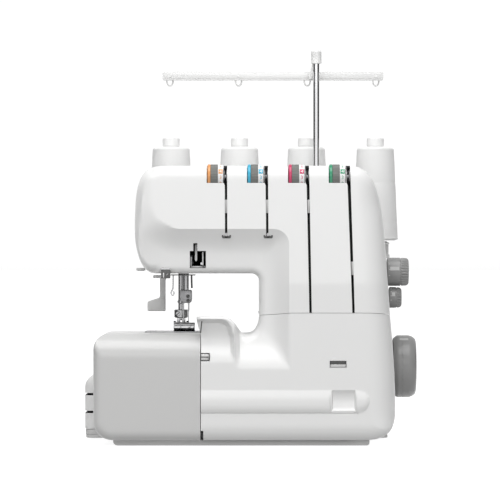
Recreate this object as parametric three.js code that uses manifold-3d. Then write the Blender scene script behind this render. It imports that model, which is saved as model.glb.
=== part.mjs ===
// Four-thread serger (overlock) machine. Millimetres, +Z up, the operator sits at -Y, the handwheel is at +X.
// The origin is on the table, under the middle of the machine's bounding box.
import * as THREE from "three";
import { mergeVertices } from "three/addons/utils/BufferGeometryUtils.js";
import Module from "manifold-3d";

const wasm = await Module();
wasm.setup();

// ---------------------------------------------------------------- driving dimensions
const HALF_WIDTH = 176; // rear housing to handwheel face, half of the overall width
const GAP = 0.4; // running and fitting gap between two pieces
const WALL = 3; // wall of a moulded casing
const TOP_Z = 290.5;
const SEAM_Z = 138; // joint between the upper casings and the lower ones
const ARM_BOTTOM_Z = 178.6; // underside of the head, above the sewing space
const CLOTH_Z = 116.8; // top of the side cover, where the cloth lies
const BASE_TOP_Z = 6;
const LOWER_Z = BASE_TOP_Z + GAP; // lower edge of the covers and of the lower casing

const FRONT_Y = -130; // front of the rib across the looper cover
const FACE_Y = -127.5; // front of the looper cover and of the casing above it
const LEAN_Z = 168; // above this height the casing's face leans back
const LEAN = 0.1;
const COVE_Y = -111; // front of the recessed band round the sewing space
const COVER_REAR_Y = -113; // rear edge of the looper cover
const SPLIT_Y = -20; // joint between front and rear casings
const HEAD_REAR_Y = 50;
const HOUSING_REAR_Y = 84;
const STAND_REAR_Y = 130;
const CREASE_X = 40.5; // inner corner of the recessed band
const CREASE_Z = 224.8;

const NEEDLE_X = -67.5;
const NEEDLE_Y = -42;
const PRESSER_X = -73;
const PRESSER_Y = -26;
const SHAFT = [0, -15, 79.5]; // a point on the main shaft's axis
const MOTOR = [0, 40, 42];
const KNOB_Y = -45;
const TAKE_UP = [-22, 0, 203];
const LIFTER = [-73, 0, 190];
const UPPER_LOOPER = [-38, 0, 62];
const LOWER_LOOPER = [-78, 0, 58];

const CONE_X = [-86.5, -11.5, 62, 137.5];
const CONE_Y = 105.2;
const CONE_BOTTOM_Z = 213.5;
const POLE_X = 72;
const POLE_Y = 68;
const BAR_Y = 88;
const BAR_Z = 393;
const POLE_TOP_Z = 420;

const DIAL_LEFT_X = [-45.5, -2.8, 39.7, 81.7]; // left face of each tension dial
const DIAL_WIDTH = 16.5;
const DIAL_R = 13;
const DIAL_Y = -104.5;
const DIAL_Z = 279;
const SLOT_TOP_X = [-26.2, 17.2, 59.6, 101.8];
const SLOT_FOOT_X = [-24.6, 17.9, 62.6, 107];
const SLOT_FOOT_Z = [217, 217, SEAM_Z, SEAM_Z];
const SLOT_WIDTH = 2.5;
const BRIDGE_Z = [241, 241, 241, 177]; // lower edge of the thread guide behind each slot

// ---------------------------------------------------------------- materials
const finish = (color, roughness, metalness = 0) =>
  new THREE.MeshStandardMaterial({ color, roughness, metalness });
const WHITE = finish(0xecebe9, 0.38);
const GREY = finish(0xc2c2c2, 0.42);
const KNOB_GREY = finish(0x9b9b9b, 0.4);
const BASE_GREY = finish(0x8f8f8f, 0.5);
const RUBBER = finish(0x222222, 0.9);
const CHROME = finish(0xd8d8d8, 0.15, 1);
const STEEL = finish(0xa8a8a8, 0.3, 1);
const CAST = finish(0x9a9da0, 0.55, 0.8);
const THREAD = finish(0xf4f4f4, 0.85);
const BLACK = finish(0x1c1c1c, 0.6);

// ---------------------------------------------------------------- solids
function solid(geometry) {
  const bare = geometry.index ? geometry.toNonIndexed() : geometry;
  const points = new THREE.BufferGeometry().setAttribute("position", bare.getAttribute("position"));
  const merged = mergeVertices(points, 1e-3);
  return new wasm.Manifold(
    new wasm.Mesh({
      numProp: 3,
      vertProperties: merged.attributes.position.array,
      triVerts: new Uint32Array(merged.index.array),
    }),
  );
}

function geometryOf(made) {
  const mesh = made.getMesh();
  return new THREE.BufferGeometry()
    .setAttribute("position", new THREE.BufferAttribute(mesh.vertProperties, 3))
    .setIndex(new THREE.BufferAttribute(mesh.triVerts, 1));
}

const join = (...solids) => solids.reduce((a, b) => a.add(b));
const cut = (from, ...solids) => solids.reduce((a, b) => a.subtract(b), from);

function box([x0, x1], [y0, y1], [z0, z1]) {
  const g = new THREE.BoxGeometry(x1 - x0, y1 - y0, z1 - z0);
  g.translate((x0 + x1) / 2, (y0 + y1) / 2, (z0 + z1) / 2);
  return solid(g);
}

// A turned piece: profile is [radius, distance along the axis], first and last points on the axis or closed.
function turned(profile, axis, [x, y, z], segments = 14) {
  const g = new THREE.LatheGeometry(profile.map(([r, h]) => new THREE.Vector2(r, h)), segments);
  if (axis === "z") g.rotateX(Math.PI / 2);
  if (axis === "x") g.rotateZ(-Math.PI / 2);
  g.translate(x, y, z);
  return solid(g);
}

// A rod of radius r from distance a to b along the axis, through the point given for the other two directions.
function rod(r, axis, [a, b], at, segments = 14) {
  return turned([[0, a], [r, a], [r, b], [0, b]], axis, at, segments);
}

function tube(inner, outer, axis, [a, b], at, segments = 14) {
  return turned([[inner, a], [outer, a], [outer, b], [inner, b], [inner, a]], axis, at, segments);
}

// A flat piece: an outline in X and Z, from y0 to y1.
function slab(shape, [y0, y1], curveSegments = 4) {
  const g = new THREE.ExtrudeGeometry(shape, { depth: y1 - y0, bevelEnabled: false, curveSegments });
  g.rotateX(Math.PI / 2);
  g.translate(0, y1, 0);
  return solid(g);
}

// A flat piece: an outline in X and Y, from z0 to z1.
function plate(shape, [z0, z1], curveSegments = 3) {
  const g = new THREE.ExtrudeGeometry(shape, { depth: z1 - z0, bevelEnabled: false, curveSegments });
  g.translate(0, 0, z0);
  return solid(g);
}

// A flat piece: an outline in Y and Z, from x0 to x1.
function cheek(shape, [x0, x1], curveSegments = 6) {
  const g = new THREE.ExtrudeGeometry(shape, { depth: x1 - x0, bevelEnabled: false, curveSegments });
  g.applyMatrix4(new THREE.Matrix4().set(0, 0, 1, x0, 1, 0, 0, 0, 0, 1, 0, 0, 0, 0, 0, 1));
  return solid(g);
}

function polygon(points) {
  return new THREE.Shape(points.map(([u, v]) => new THREE.Vector2(u, v)));
}

// A rectangle whose corners have radii [lower left, lower right, upper right, upper left].
function roundedRect([u0, u1], [v0, v1], radii) {
  const [a, b, c, d] = Array.isArray(radii) ? radii : [radii, radii, radii, radii];
  const s = new THREE.Shape();
  s.moveTo(u0 + a, v0);
  s.lineTo(u1 - b, v0);
  if (b) s.absarc(u1 - b, v0 + b, b, -Math.PI / 2, 0, false);
  s.lineTo(u1, v1 - c);
  if (c) s.absarc(u1 - c, v1 - c, c, 0, Math.PI / 2, false);
  s.lineTo(u0 + d, v1);
  if (d) s.absarc(u0 + d, v1 - d, d, Math.PI / 2, Math.PI, false);
  s.lineTo(u0, v0 + a);
  if (a) s.absarc(u0 + a, v0 + a, a, Math.PI, 1.5 * Math.PI, false);
  return s;
}

// The outline's points, anticlockwise, without doubles.
function outlinePoints(shape, divisions) {
  const points = shape.getPoints(divisions);
  if (THREE.ShapeUtils.isClockWise(points)) points.reverse();
  return points.filter((p, i) => p.distanceTo(points[(i + 1) % points.length]) > 1e-3);
}

// Moves each side of an outline inwards by distance times that side's weight.
function inset(points, distance, weight) {
  const n = points.length;
  const sides = points.map((p, i) => {
    const q = points[(i + 1) % n];
    const along = q.clone().sub(p).normalize();
    const out = new THREE.Vector2(along.y, -along.x);
    const middle = p.clone().add(q).multiplyScalar(0.5);
    return { out, by: distance * weight(middle, out) };
  });
  return points.map((p, i) => {
    const a = sides[(i + n - 1) % n];
    const b = sides[i];
    const turn = a.out.x * b.out.y - a.out.y * b.out.x;
    if (Math.abs(turn) < (a.by === b.by ? 0.3 : 0.75)) {
      const out = a.out.clone().add(b.out).normalize();
      return p.clone().addScaledVector(out, (-a.by - b.by) / 2);
    }
    const u = p.dot(a.out) - a.by;
    const v = p.dot(b.out) - b.by;
    return new THREE.Vector2((u * b.out.y - v * a.out.y) / turn, (v * a.out.x - u * b.out.x) / turn);
  });
}

// A body through the same outline (in X and Z) inset at several depths, closed at both ends.
// Each section is { y, inset }, front first; y may be a function of z.
function loft(shape, sections, { divisions = 4, weight = () => 1 } = {}) {
  const base = outlinePoints(shape, divisions);
  const n = base.length;
  const depth = (y, z) => (typeof y === "function" ? y(z) : y);
  const rings = sections.map((s) => inset(base, s.inset, weight).map((p) => [p.x, depth(s.y, p.y), p.y]));
  const triangles = [];
  for (let k = 0; k + 1 < rings.length; k++)
    for (let i = 0; i < n; i++) {
      const j = (i + 1) % n;
      const [a, b, c, d] = [rings[k][i], rings[k][j], rings[k + 1][j], rings[k + 1][i]];
      triangles.push(a, c, b, a, d, c);
    }
  const close = (ring, flip) => {
    const flat = ring.map(([x, , z]) => new THREE.Vector2(x, z));
    for (const [i, j, k] of THREE.ShapeUtils.triangulateShape(flat, []))
      triangles.push(...(flip ? [ring[i], ring[k], ring[j]] : [ring[i], ring[j], ring[k]]));
  };
  close(rings[0], false);
  close(rings[rings.length - 1], true);
  const g = new THREE.BufferGeometry();
  g.setAttribute("position", new THREE.Float32BufferAttribute(triangles.flat(), 3));
  return solid(g);
}

// Sections of a rounded edge: radius across the outline, depth along Y. sign 1 rounds the front, -1 the rear.
function roundedEdge(y, radius, depth, sign, steps = 2) {
  const at = (z) => (typeof y === "function" ? y(z) : y);
  return Array.from({ length: steps + 1 }, (_, i) => {
    const t = (i / steps) * (Math.PI / 2);
    return { y: (z) => at(z) + sign * depth * (1 - Math.cos(t)), inset: radius * (1 - Math.sin(t)) };
  });
}

const root = new THREE.Group();
function piece(name, made, material) {
  const mesh = new THREE.Mesh(geometryOf(made), material);
  mesh.name = name;
  root.add(mesh);
}

// ---------------------------------------------------------------- outlines of the casings, in X and Z
function rightSide(s) {
  s.bezierCurveTo(143.5, 165, 141.5, 190, 140, 214);
  s.bezierCurveTo(136, 264, 128, TOP_Z, 103, TOP_Z);
}

function headOutline() {
  const s = new THREE.Shape();
  s.moveTo(9.3, SEAM_Z + GAP / 2);
  s.lineTo(145.5, SEAM_Z + GAP / 2);
  rightSide(s);
  s.lineTo(-85, TOP_Z);
  s.bezierCurveTo(-112, TOP_Z, -119.5, 282, -119.5, 228);
  s.bezierCurveTo(-119.5, 200, -113, ARM_BOTTOM_Z, -98, ARM_BOTTOM_Z);
  s.lineTo(1.3, ARM_BOTTOM_Z);
  s.absarc(1.3, ARM_BOTTOM_Z - 8, 8, Math.PI / 2, 0, true);
  return s;
}

// The raised panel that carries the tension dials and runs down the column.
function panelOutline() {
  const s = new THREE.Shape();
  s.moveTo(CREASE_X, SEAM_Z + GAP / 2);
  s.lineTo(145.5, SEAM_Z + GAP / 2);
  rightSide(s);
  s.lineTo(-80, TOP_Z);
  s.bezierCurveTo(-105, TOP_Z, -115, 276, -115, 246);
  s.absarc(-94, 246, 21, Math.PI, 1.5 * Math.PI, false);
  s.lineTo(CREASE_X - 16, CREASE_Z + 0.2);
  s.absarc(CREASE_X - 16, CREASE_Z - 16, 16, Math.PI / 2, 0, true);
  return s;
}

function looperCoverOutline(withGuard) {
  const s = new THREE.Shape();
  s.moveTo(-48.7, LOWER_Z);
  s.lineTo(118, LOWER_Z);
  s.bezierCurveTo(140, LOWER_Z, 151, 14, 151, 38);
  s.bezierCurveTo(150.5, 75, 148, 110, 145.7, SEAM_Z - GAP / 2);
  s.lineTo(9.5, SEAM_Z - GAP / 2);
  s.bezierCurveTo(9.5, 122, 5, 115.4, -4, 115.4);
  if (!withGuard) {
    s.lineTo(-48.6, 115.6);
    return s;
  }
  s.bezierCurveTo(-13, 115.5, -13, 134.5, -30, 134.5);
  s.lineTo(-55.5, 134.4);
  s.lineTo(-55.6, 124);
  s.lineTo(-52, 118.6);
  s.lineTo(-48.8, 118.4);
  return s;
}

// The fixed lower casing of the column, behind the looper cover.
function columnOutline() {
  const s = new THREE.Shape();
  s.moveTo(-46, LOWER_Z);
  s.lineTo(124, LOWER_Z);
  s.bezierCurveTo(140, LOWER_Z, 149.6, 18, 149.6, 38);
  s.bezierCurveTo(149, 75, 147, 110, 145.4, SEAM_Z - GAP / 2);
  s.lineTo(9.5, SEAM_Z - GAP / 2);
  s.bezierCurveTo(9.5, 122, 5, 114, -4, 114);
  s.lineTo(-45.9, 114.2);
  return s;
}

const face = (y) => (z) => y + LEAN * Math.max(0, z - LEAN_Z);
const exceptSeam = (middle) => (middle.y < SEAM_Z + 1 ? 0 : 1);
const openAtSeam = (middle) => (middle.y < SEAM_Z + 1 ? -2 : 1);
const openBelow = (middle, out) => (out.y < -0.98 && middle.y < LOWER_Z + 1 ? -2 : 1);

// ---------------------------------------------------------------- casings
function slot(i) {
  const half = SLOT_WIDTH / 2;
  const [top, foot, z] = [SLOT_TOP_X[i], SLOT_FOOT_X[i], SLOT_FOOT_Z[i]];
  const shape = polygon([
    [foot - half, z - 1],
    [foot + half, z - 1],
    [top + half, TOP_Z + 2],
    [top - half - 1.4, TOP_Z + 2],
    [top - half - 1.4, DIAL_Z - 6],
    [top - half, DIAL_Z - 9],
  ]);
  return slab(shape, [FRONT_Y, -84]);
}

function headCover() {
  const bandWeight = (m, out) => (exceptSeam(m) && (out.y < -0.3 || out.x < -0.3) ? 1 : 0);
  const panelWeight = (m) => {
    const crease = (m.y < CREASE_Z + 2 && m.x < CREASE_X + 1) || (m.y < 240 && m.x < 0);
    return exceptSeam(m) * (crease ? 0.1 : 1);
  };
  const band = loft(headOutline(), [...roundedEdge(COVE_Y, 10, 10, 1), { y: SPLIT_Y - GAP / 2, inset: 0 }], {
    weight: bandWeight,
  });
  const panel = loft(panelOutline(), [...roundedEdge(face(FACE_Y), 15, 14, 1), { y: COVE_Y + 8, inset: 0 }], {
    weight: panelWeight,
  });
  const bandHollow = loft(
    headOutline(),
    [
      { y: COVE_Y + WALL, inset: WALL + 6 },
      { y: COVE_Y + WALL + 8, inset: WALL },
      { y: SPLIT_Y + 5, inset: WALL },
    ],
    { weight: openAtSeam },
  );
  const panelHollow = loft(
    panelOutline(),
    [
      { y: face(FACE_Y + WALL), inset: WALL + 11 },
      { y: face(FACE_Y + WALL + 7), inset: WALL + 3 },
      { y: COVE_Y + WALL + 7, inset: WALL + 1 },
    ],
    { weight: openAtSeam },
  );
  const needleHole = box([-84, -56], [-62, SPLIT_Y + 5], [ARM_BOTTOM_Z - 2, ARM_BOTTOM_Z + 6]);
  const dialWindows = DIAL_LEFT_X.map((x) =>
    box([x - 0.6, x + DIAL_WIDTH + 0.6], [FRONT_Y, -84], [268.5, TOP_Z + 5]),
  );
  const takeUpWindow = join(
    box([-62.3, -45.7], [COVE_Y - 8, -88], [184.3, 202]),
    box([-58.7, -54.5], [COVE_Y - 8, -88], [200, 210]),
  );
  const knobHoles = [180, 153].map((z) => rod(5, "x", [120, 160], [0, KNOB_Y, z], 12));
  return cut(
    join(band, panel),
    bandHollow,
    panelHollow,
    needleHole,
    takeUpWindow,
    ...dialWindows,
    ...knobHoles,
    ...[0, 1, 2, 3].map(slot),
  );
}

function rearCover() {
  const outside = loft(
    headOutline(),
    [{ y: SPLIT_Y + GAP / 2, inset: 0 }, ...roundedEdge(HEAD_REAR_Y, 14, 14, -1).reverse()],
    { weight: exceptSeam },
  );
  const hollow = loft(
    headOutline(),
    [
      { y: SPLIT_Y - 5, inset: WALL },
      { y: HEAD_REAR_Y - WALL - 10, inset: WALL },
      { y: HEAD_REAR_Y - WALL, inset: WALL + 10 },
    ],
    { weight: openAtSeam },
  );
  const barHole = box([-84, -56], [SPLIT_Y - 5, -12], [ARM_BOTTOM_Z - 2, ARM_BOTTOM_Z + 6]);
  const lifterHole = rod(3.6, "y", [HEAD_REAR_Y - 8, HEAD_REAR_Y + 2], LIFTER, 12);
  return cut(outside, hollow, barHole, lifterHole);
}

// The curved hollow in the looper cover beside the knives, which throws the trimmings clear.
const SCOOP = [0, -141, 111];

function looperCover() {
  const weight = (m, out) => {
    if (m.y > SEAM_Z - 3 || out.x < -0.9 || (m.y > 100 && m.x < 20)) return 0;
    return 1 + 0.5 * Math.min(0, out.y);
  };
  const outside = loft(
    looperCoverOutline(true),
    [...roundedEdge(FACE_Y, 16, 14, 1, 3), { y: COVER_REAR_Y, inset: 0 }],
    { weight },
  );
  const hollow = loft(looperCoverOutline(false), [
    { y: FACE_Y + WALL, inset: WALL + 8 },
    { y: FACE_Y + WALL + 9, inset: WALL },
    { y: COVER_REAR_Y + 5, inset: WALL },
  ]);
  const scoopBack = rod(24, "x", [-48.7, -12], SCOOP, 24).intersect(outside);
  const scoop = rod(21, "x", [-60, -15], SCOOP, 24);
  const rib = slab(roundedRect([-48.7, 123.5], [35.2, 58.4], [0, 11.5, 11.5, 0]), [FRONT_Y, FACE_Y + 1]);
  const thumbScoop = rod(24, "x", [84, 109], [0, FRONT_Y - 19, 47], 24);
  const windowHole = box([82.2, 99.5], [FRONT_Y, FACE_Y + 6], [81.8, 88.8]);
  const catchHole = box([-49, -41.5], [FRONT_Y, FACE_Y + 8], [88.4, 96.6]);
  return cut(join(outside.subtract(hollow), scoopBack, rib), scoop, thumbScoop, windowHole, catchHole);
}

function sideCover() {
  const outline = roundedRect([-162, -49.3], [LOWER_Z, CLOTH_Z], [20, 0, 0, 17]);
  const weight = (m, out) => {
    if (out.x > 0.9) return 0;
    return 1 + 0.6 * Math.min(0, out.y);
  };
  const outside = loft(outline, [...roundedEdge(FACE_Y, 14, 14, 1, 3), { y: -18, inset: 0 }], { weight });
  const hollow = loft(
    outline,
    [
      { y: FACE_Y + WALL, inset: WALL + 8 },
      { y: FACE_Y + WALL + 9, inset: WALL },
      { y: -10, inset: WALL },
    ],
    { weight: (m, out) => (out.x > 0.9 ? -2 : 1) },
  );
  const bedNotch = box([-110.5, -40], [-78, -10], [CLOTH_Z - 5, CLOTH_Z + 3]);
  const openFloor = box([-170, -40], [-92, -10], [0, 12.5]);
  return cut(outside, hollow, bedNotch, openFloor);
}

function lowerCasing() {
  const column = loft(columnOutline(), [{ y: -111.5, inset: 0 }, { y: HEAD_REAR_Y, inset: 0 }]);
  const columnHollow = loft(
    columnOutline(),
    [{ y: -111.5 + WALL, inset: WALL }, { y: HEAD_REAR_Y - WALL, inset: WALL }],
    { weight: (m, out) => (out.y > 0.98 && m.x > 10 ? -2 : openBelow(m, out)) },
  );
  const housingOutline = roundedRect([-HALF_WIDTH, 149], [12.3, 71], [0, 20, 12, 12]);
  const housing = loft(housingOutline, [{ y: -8, inset: 0 }, ...roundedEdge(HOUSING_REAR_Y, 10, 10, -1).reverse()]);
  const housingHollow = loft(
    housingOutline,
    [
      { y: -8 + WALL, inset: WALL },
      { y: HOUSING_REAR_Y - 12, inset: WALL },
      { y: HOUSING_REAR_Y - WALL, inset: WALL + 8 },
    ],
    { weight: (m, out) => (out.y < -0.98 ? -2 : 1) },
  );
  const bedWall = box([-157, -44], [-12.5, -8.5], [56, 112.6]);
  const looperDoorway = box([-42, 46], [-115, -100], [14, 104]);
  const bedDoorway = box([-50, -40], [-96, -14], [5, 104]);
  const shaftHole = rod(7, "x", [130, 160], SHAFT, 14);
  const sideVents = [49.5, 30.5].map((z) =>
    box([-HALF_WIDTH - 2, -HALF_WIDTH + 14], [12, 70], [z - 1.2, z + 1.2]),
  );
  const rearVents = [0, 1, 2, 3, 4, 5].map((i) =>
    box([10 + 12 * i, 16 + 12 * i], [HOUSING_REAR_Y - 6, HOUSING_REAR_Y + 2], [26, 56]),
  );
  const switchHole = box([130, 155], [26.5, 43.5], [84.5, 103.5]);
  const socketHole = box([130, 155], [24, 52], [24, 52]);
  return cut(
    join(column, housing, bedWall),
    columnHollow,
    housingHollow,
    looperDoorway,
    bedDoorway,
    shaftHole,
    switchHole,
    socketHole,
    ...sideVents,
    ...rearVents,
  );
}

// ---------------------------------------------------------------- frame, base and bed
function basePlate() {
  const front = plate(roundedRect([-139, 124], [-106, 0], 6), [1.8, BASE_TOP_Z]);
  const rear = plate(roundedRect([-HALF_WIDTH + 1, 147], [-7, HOUSING_REAR_Y - 2], 8), [1.8, 12]);
  const pocket = box([-43, 118], [-10, HOUSING_REAR_Y - 8], [BASE_TOP_Z, 20]);
  const leftPocket = box([-HALF_WIDTH + 7, -49], [-4, HOUSING_REAR_Y - 8], [BASE_TOP_Z, 20]);
  const rim = box([117, 150], [-10, 51], [BASE_TOP_Z, 20]);
  const wallSlot = box([-50, -42], [-10, 51], [BASE_TOP_Z, 20]);
  return cut(join(front, rear), pocket, leftPocket, rim, wallSlot);
}

function mainFrame() {
  const floor = plate(
    polygon([
      [-104, -88],
      [112, -88],
      [112, 30],
      [-40, 30],
      [-40, -16],
      [-104, -16],
    ]),
    [LOWER_Z, 12],
  );
  const upright = box([-104, -96], [-74, -16], [8, 108]);
  const bed = box([-108, -54], [-74, -15], [106, 112.6]);
  const bedOpening = box([-86, -57], [-69, -18], [100, 116]);
  const looperGap = box([-60, -50], [-44, -32], [100, 116]);
  const column = box([60, 84], [-40, 10], [8, 262]);
  const arm = box([-90, 84], [-52, -12], [212, 226]);
  const lowerBush = box([-90, -60], [-50, -18], [187, 197]);
  const bushWeb = box([-90, -82], [-50, -18], [187, 220]);
  const dialArm = box([60, 84], [-82, -30], [238, 262]);
  const dialPlate = box([-48, 112], [-82, -78], [238, 280]);
  const looperLug = box([-104, -70], [-28, -16], [50, 66]);
  const upperLug = box([-45, -31], [-28, -16], [8, 70]);
  const bores = [
    rod(3.4, "z", [180, 240], [NEEDLE_X, NEEDLE_Y, 0], 16),
    rod(3.6, "z", [180, 240], [PRESSER_X, PRESSER_Y, 0], 16),
    rod(12, "x", [50, 90], SHAFT, 14),
    rod(4.4, "y", [-40, -10], LOWER_LOOPER, 16),
    rod(4.4, "y", [-40, -10], UPPER_LOOPER, 16),
  ];
  return cut(
    join(floor, upright, bed, column, arm, lowerBush, bushWeb, dialArm, dialPlate, looperLug, upperLug),
    bedOpening,
    looperGap,
    ...bores,
  );
}

function needlePlate() {
  const body = plate(roundedRect([-110, -51], [-77.5, -14.5], 1.5), [113, 117.4]);
  const needleSlot = box([-72.5, -62.8], [-46, -38.5], [110, 120]);
  const feedSlots = [
    [-80, -73],
    [-68, -61],
  ].map((x) => join(box(x, [-67, -46.5], [110, 120]), box(x, [-38, -19], [110, 120])));
  return cut(body, needleSlot, ...feedSlots);
}

function spoolStand() {
  const tray = plate(roundedRect([-112, 148.5], [66, STAND_REAR_Y - 2.5], 14), [190, 196]);
  const bracket = box([30, 112], [HEAD_REAR_Y + GAP, 70], [168, 196]);
  const socket = rod(7, "z", [186, 206], [POLE_X, POLE_Y, 0]);
  const poleBore = rod(4.7, "z", [180, 215], [POLE_X, POLE_Y, 0]);
  const pins = CONE_X.map((x) => rod(3, "z", [192, 262], [x, CONE_Y, 0], 12));
  const holders = CONE_X.map((x) =>
    turned(
      [
        [0, 195],
        [15.7, 195],
        [15.7, 210],
        [12, 212.6],
        [0, 212.6],
      ],
      "z",
      [x, CONE_Y, 0],
    ),
  );
  return cut(join(tray, bracket, socket, ...pins, ...holders), poleBore);
}

// ---------------------------------------------------------------- sewing mechanism
function presserFoot() {
  const sole = cheek(
    polygon([
      [-70, 121],
      [-64, 118],
      [-27, 118],
      [-20, 119.6],
      [-20, 121.4],
      [-62, 121.4],
      [-69, 124],
    ]),
    [-80, -58],
  );
  const needleSlot = box([-72.2, -62.6], [-46.5, -37], [110, 130]);
  const lugs = [
    [-81, -78.6],
    [-67.4, -65],
  ].map((x) => box(x, [-29.5, -22.5], [119.5, 128]));
  const pin = rod(1.2, "x", [-80, -66], [0, PRESSER_Y, 125.4], 12);
  return join(sole.subtract(needleSlot), ...lugs, pin);
}

function presserAnkle() {
  const collar = rod(7.4, "z", [131, 140], [PRESSER_X, PRESSER_Y, 0]);
  const tongue = box([-77.6, -68.4], [-29.5, -22.5], [122.4, 134]);
  const pinBore = rod(1.6, "x", [-85, -60], [0, PRESSER_Y, 125.4], 12);
  const barBore = rod(3.5, "z", [135, 145], [PRESSER_X, PRESSER_Y, 0], 16);
  return cut(join(collar, tongue), pinBore, barBore);
}

function needleClamp() {
  const body = box([-74, -61], [NEEDLE_Y - 6, NEEDLE_Y + 6], [147, 161]);
  const barBore = rod(3.4, "z", [151, 165], [NEEDLE_X, NEEDLE_Y, 0], 16);
  const needleBores = [-2.75, 2.75].map((x) => rod(1.2, "z", [140, 151.5], [NEEDLE_X + x, NEEDLE_Y, 0], 10));
  const screwBore = rod(1.5, "y", [NEEDLE_Y - 8, NEEDLE_Y - 4], [NEEDLE_X + 1.5, 0, 155], 10);
  return cut(body, barBore, ...needleBores, screwBore);
}

function needle(x) {
  const profile = [
    [0, 119.6],
    [0.5, 123],
    [0.5, 138],
    [0.9, 140],
    [0.9, 150.6],
    [0, 150.6],
  ];
  return turned(profile, "z", [NEEDLE_X + x, NEEDLE_Y, 0], 10);
}

function feedDogs() {
  const rows = [
    [-79, -74],
    [-67, -62],
  ].map((x) => join(box(x, [-64, -51.5], [104, 117.2]), box(x, [-35, -22], [104, 117.2])));
  const front = box([-83, -62], [-64, -58], [103, 107]);
  const rear = box([-83, -62], [-28, -22], [103, 107]);
  const rail = box([-83, -80.6], [-64, -22], [103, 107]);
  return join(...rows, front, rear, rail);
}

function takeUpLever() {
  const [x, , z] = TAKE_UP;
  const shaft = rod(3, "y", [-104, -58], TAKE_UP, 14);
  const hub = rod(6, "y", [-104, -98], TAKE_UP, 18);
  const lever = slab(
    polygon([
      [x - 1, z - 5],
      [x - 1, z + 5],
      [x - 20, z + 3],
      [x - 36.5, z - 2],
      [x - 38, z - 12],
      [x - 34, z - 12],
      [x - 31, z - 6],
      [x - 20, z - 3.5],
    ]),
    [-104, -101.5],
  );
  return join(shaft, hub, lever);
}

function lowerLooper() {
  const [x, , z] = LOWER_LOOPER;
  const shaft = rod(3.9, "y", [-54, -17], LOWER_LOOPER, 14);
  const hub = rod(8, "y", [-54, -44], LOWER_LOOPER, 18);
  const blade = slab(
    polygon([
      [x - 3, z],
      [x + 3, z],
      [x + 1.5, z + 38],
      [x + 6, z + 41],
      [x + 19, z + 43],
      [x + 5, z + 44],
      [x - 3, z + 42],
    ]),
    [-48.5, -46],
  );
  return join(shaft, hub, blade);
}

function upperLooper() {
  const [x, , z] = UPPER_LOOPER;
  const shaft = rod(3.9, "y", [-44, -17], UPPER_LOOPER, 14);
  const hub = rod(7, "y", [-44, -31], UPPER_LOOPER, 18);
  const blade = slab(
    polygon([
      [x - 3, z],
      [x + 3, z],
      [x - 8, z + 33],
      [x - 14, z + 43],
      [x - 21, z + 48],
      [x - 18, z + 42],
      [x - 13, z + 32],
    ]),
    [-38.5, -36],
  );
  return join(shaft, hub, blade);
}

function presserLifter() {
  const [x, , z] = LIFTER;
  const hub = rod(7, "y", [HEAD_REAR_Y + 1.2, HEAD_REAR_Y + 6.5], LIFTER);
  const shaft = rod(3.1, "y", [HEAD_REAR_Y - 14, HEAD_REAR_Y + 4], LIFTER, 14);
  const lever = slab(
    polygon([
      [x + 2, z + 6],
      [x - 20, z - 6],
      [-97.5, 174],
      [-97.5, 152],
      [-111, 147],
      [-111, 136.8],
      [-91.3, 136.8],
      [-91.3, 172],
      [x - 16, z - 12],
      [x + 2, z - 6],
    ]),
    [HEAD_REAR_Y + 1.2, HEAD_REAR_Y + 5.2],
  );
  return join(hub, shaft, lever);
}

// ---------------------------------------------------------------- drive
const [, SHAFT_Y, SHAFT_Z] = SHAFT;
const [, MOTOR_Y, MOTOR_Z] = MOTOR;
const BELT_X = [98, 104];
const MACHINE_PULLEY_R = 28;
const MOTOR_PULLEY_R = 8;

function driveBelt() {
  const loop = (extra, x) => {
    const [a, b] = [MACHINE_PULLEY_R + extra, MOTOR_PULLEY_R + extra];
    const apart = Math.hypot(MOTOR_Y - SHAFT_Y, MOTOR_Z - SHAFT_Z);
    const heading = Math.atan2(MOTOR_Z - SHAFT_Z, MOTOR_Y - SHAFT_Y);
    const open = Math.acos((a - b) / apart);
    const s = new THREE.Shape();
    s.absarc(MOTOR_Y, MOTOR_Z, b, heading - open, heading + open, false);
    s.absarc(SHAFT_Y, SHAFT_Z, a, heading + open, heading - open + 2 * Math.PI, false);
    return cheek(s, x, 6);
  };
  return loop(2, [BELT_X[0] + 0.5, BELT_X[1] - 0.5]).subtract(loop(0.4, [BELT_X[0] - 2, BELT_X[1] + 2]));
}

function handwheel() {
  const profile = [
    [5.4, 153.5],
    [13, 153.5],
    [13, 157],
    [31, 156],
    [33, 158],
    [33, 168],
    [31, 173.5],
    [26, HALF_WIDTH],
    [14, HALF_WIDTH - 3],
    [5.4, HALF_WIDTH - 3],
    [5.4, 153.5],
  ];
  return turned(profile, "x", SHAFT, 20);
}

// A knob on the right side of the casing, on a spindle through the wall.
function sideKnob(z, radius, [from, to]) {
  const profile = [
    [0, 126],
    [4.4, 126],
    [4.4, from],
    [radius - 1.5, from],
    [radius, from + 1.5],
    [radius, to - 4],
    [radius - 2, to - 0.8],
    [radius - 4, to],
    [0, to],
  ];
  return turned(profile, "x", [0, KNOB_Y, z], 18);
}

function tensionDial(x) {
  const profile = [
    [2.6, x],
    [DIAL_R - 1.2, x],
    [DIAL_R, x + 1.2],
    [DIAL_R, x + DIAL_WIDTH - 1],
    [DIAL_R - 1, x + DIAL_WIDTH],
    [2.6, x + DIAL_WIDTH],
    [2.6, x],
  ];
  return turned(profile, "x", [0, DIAL_Y, DIAL_Z], 18);
}

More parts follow.
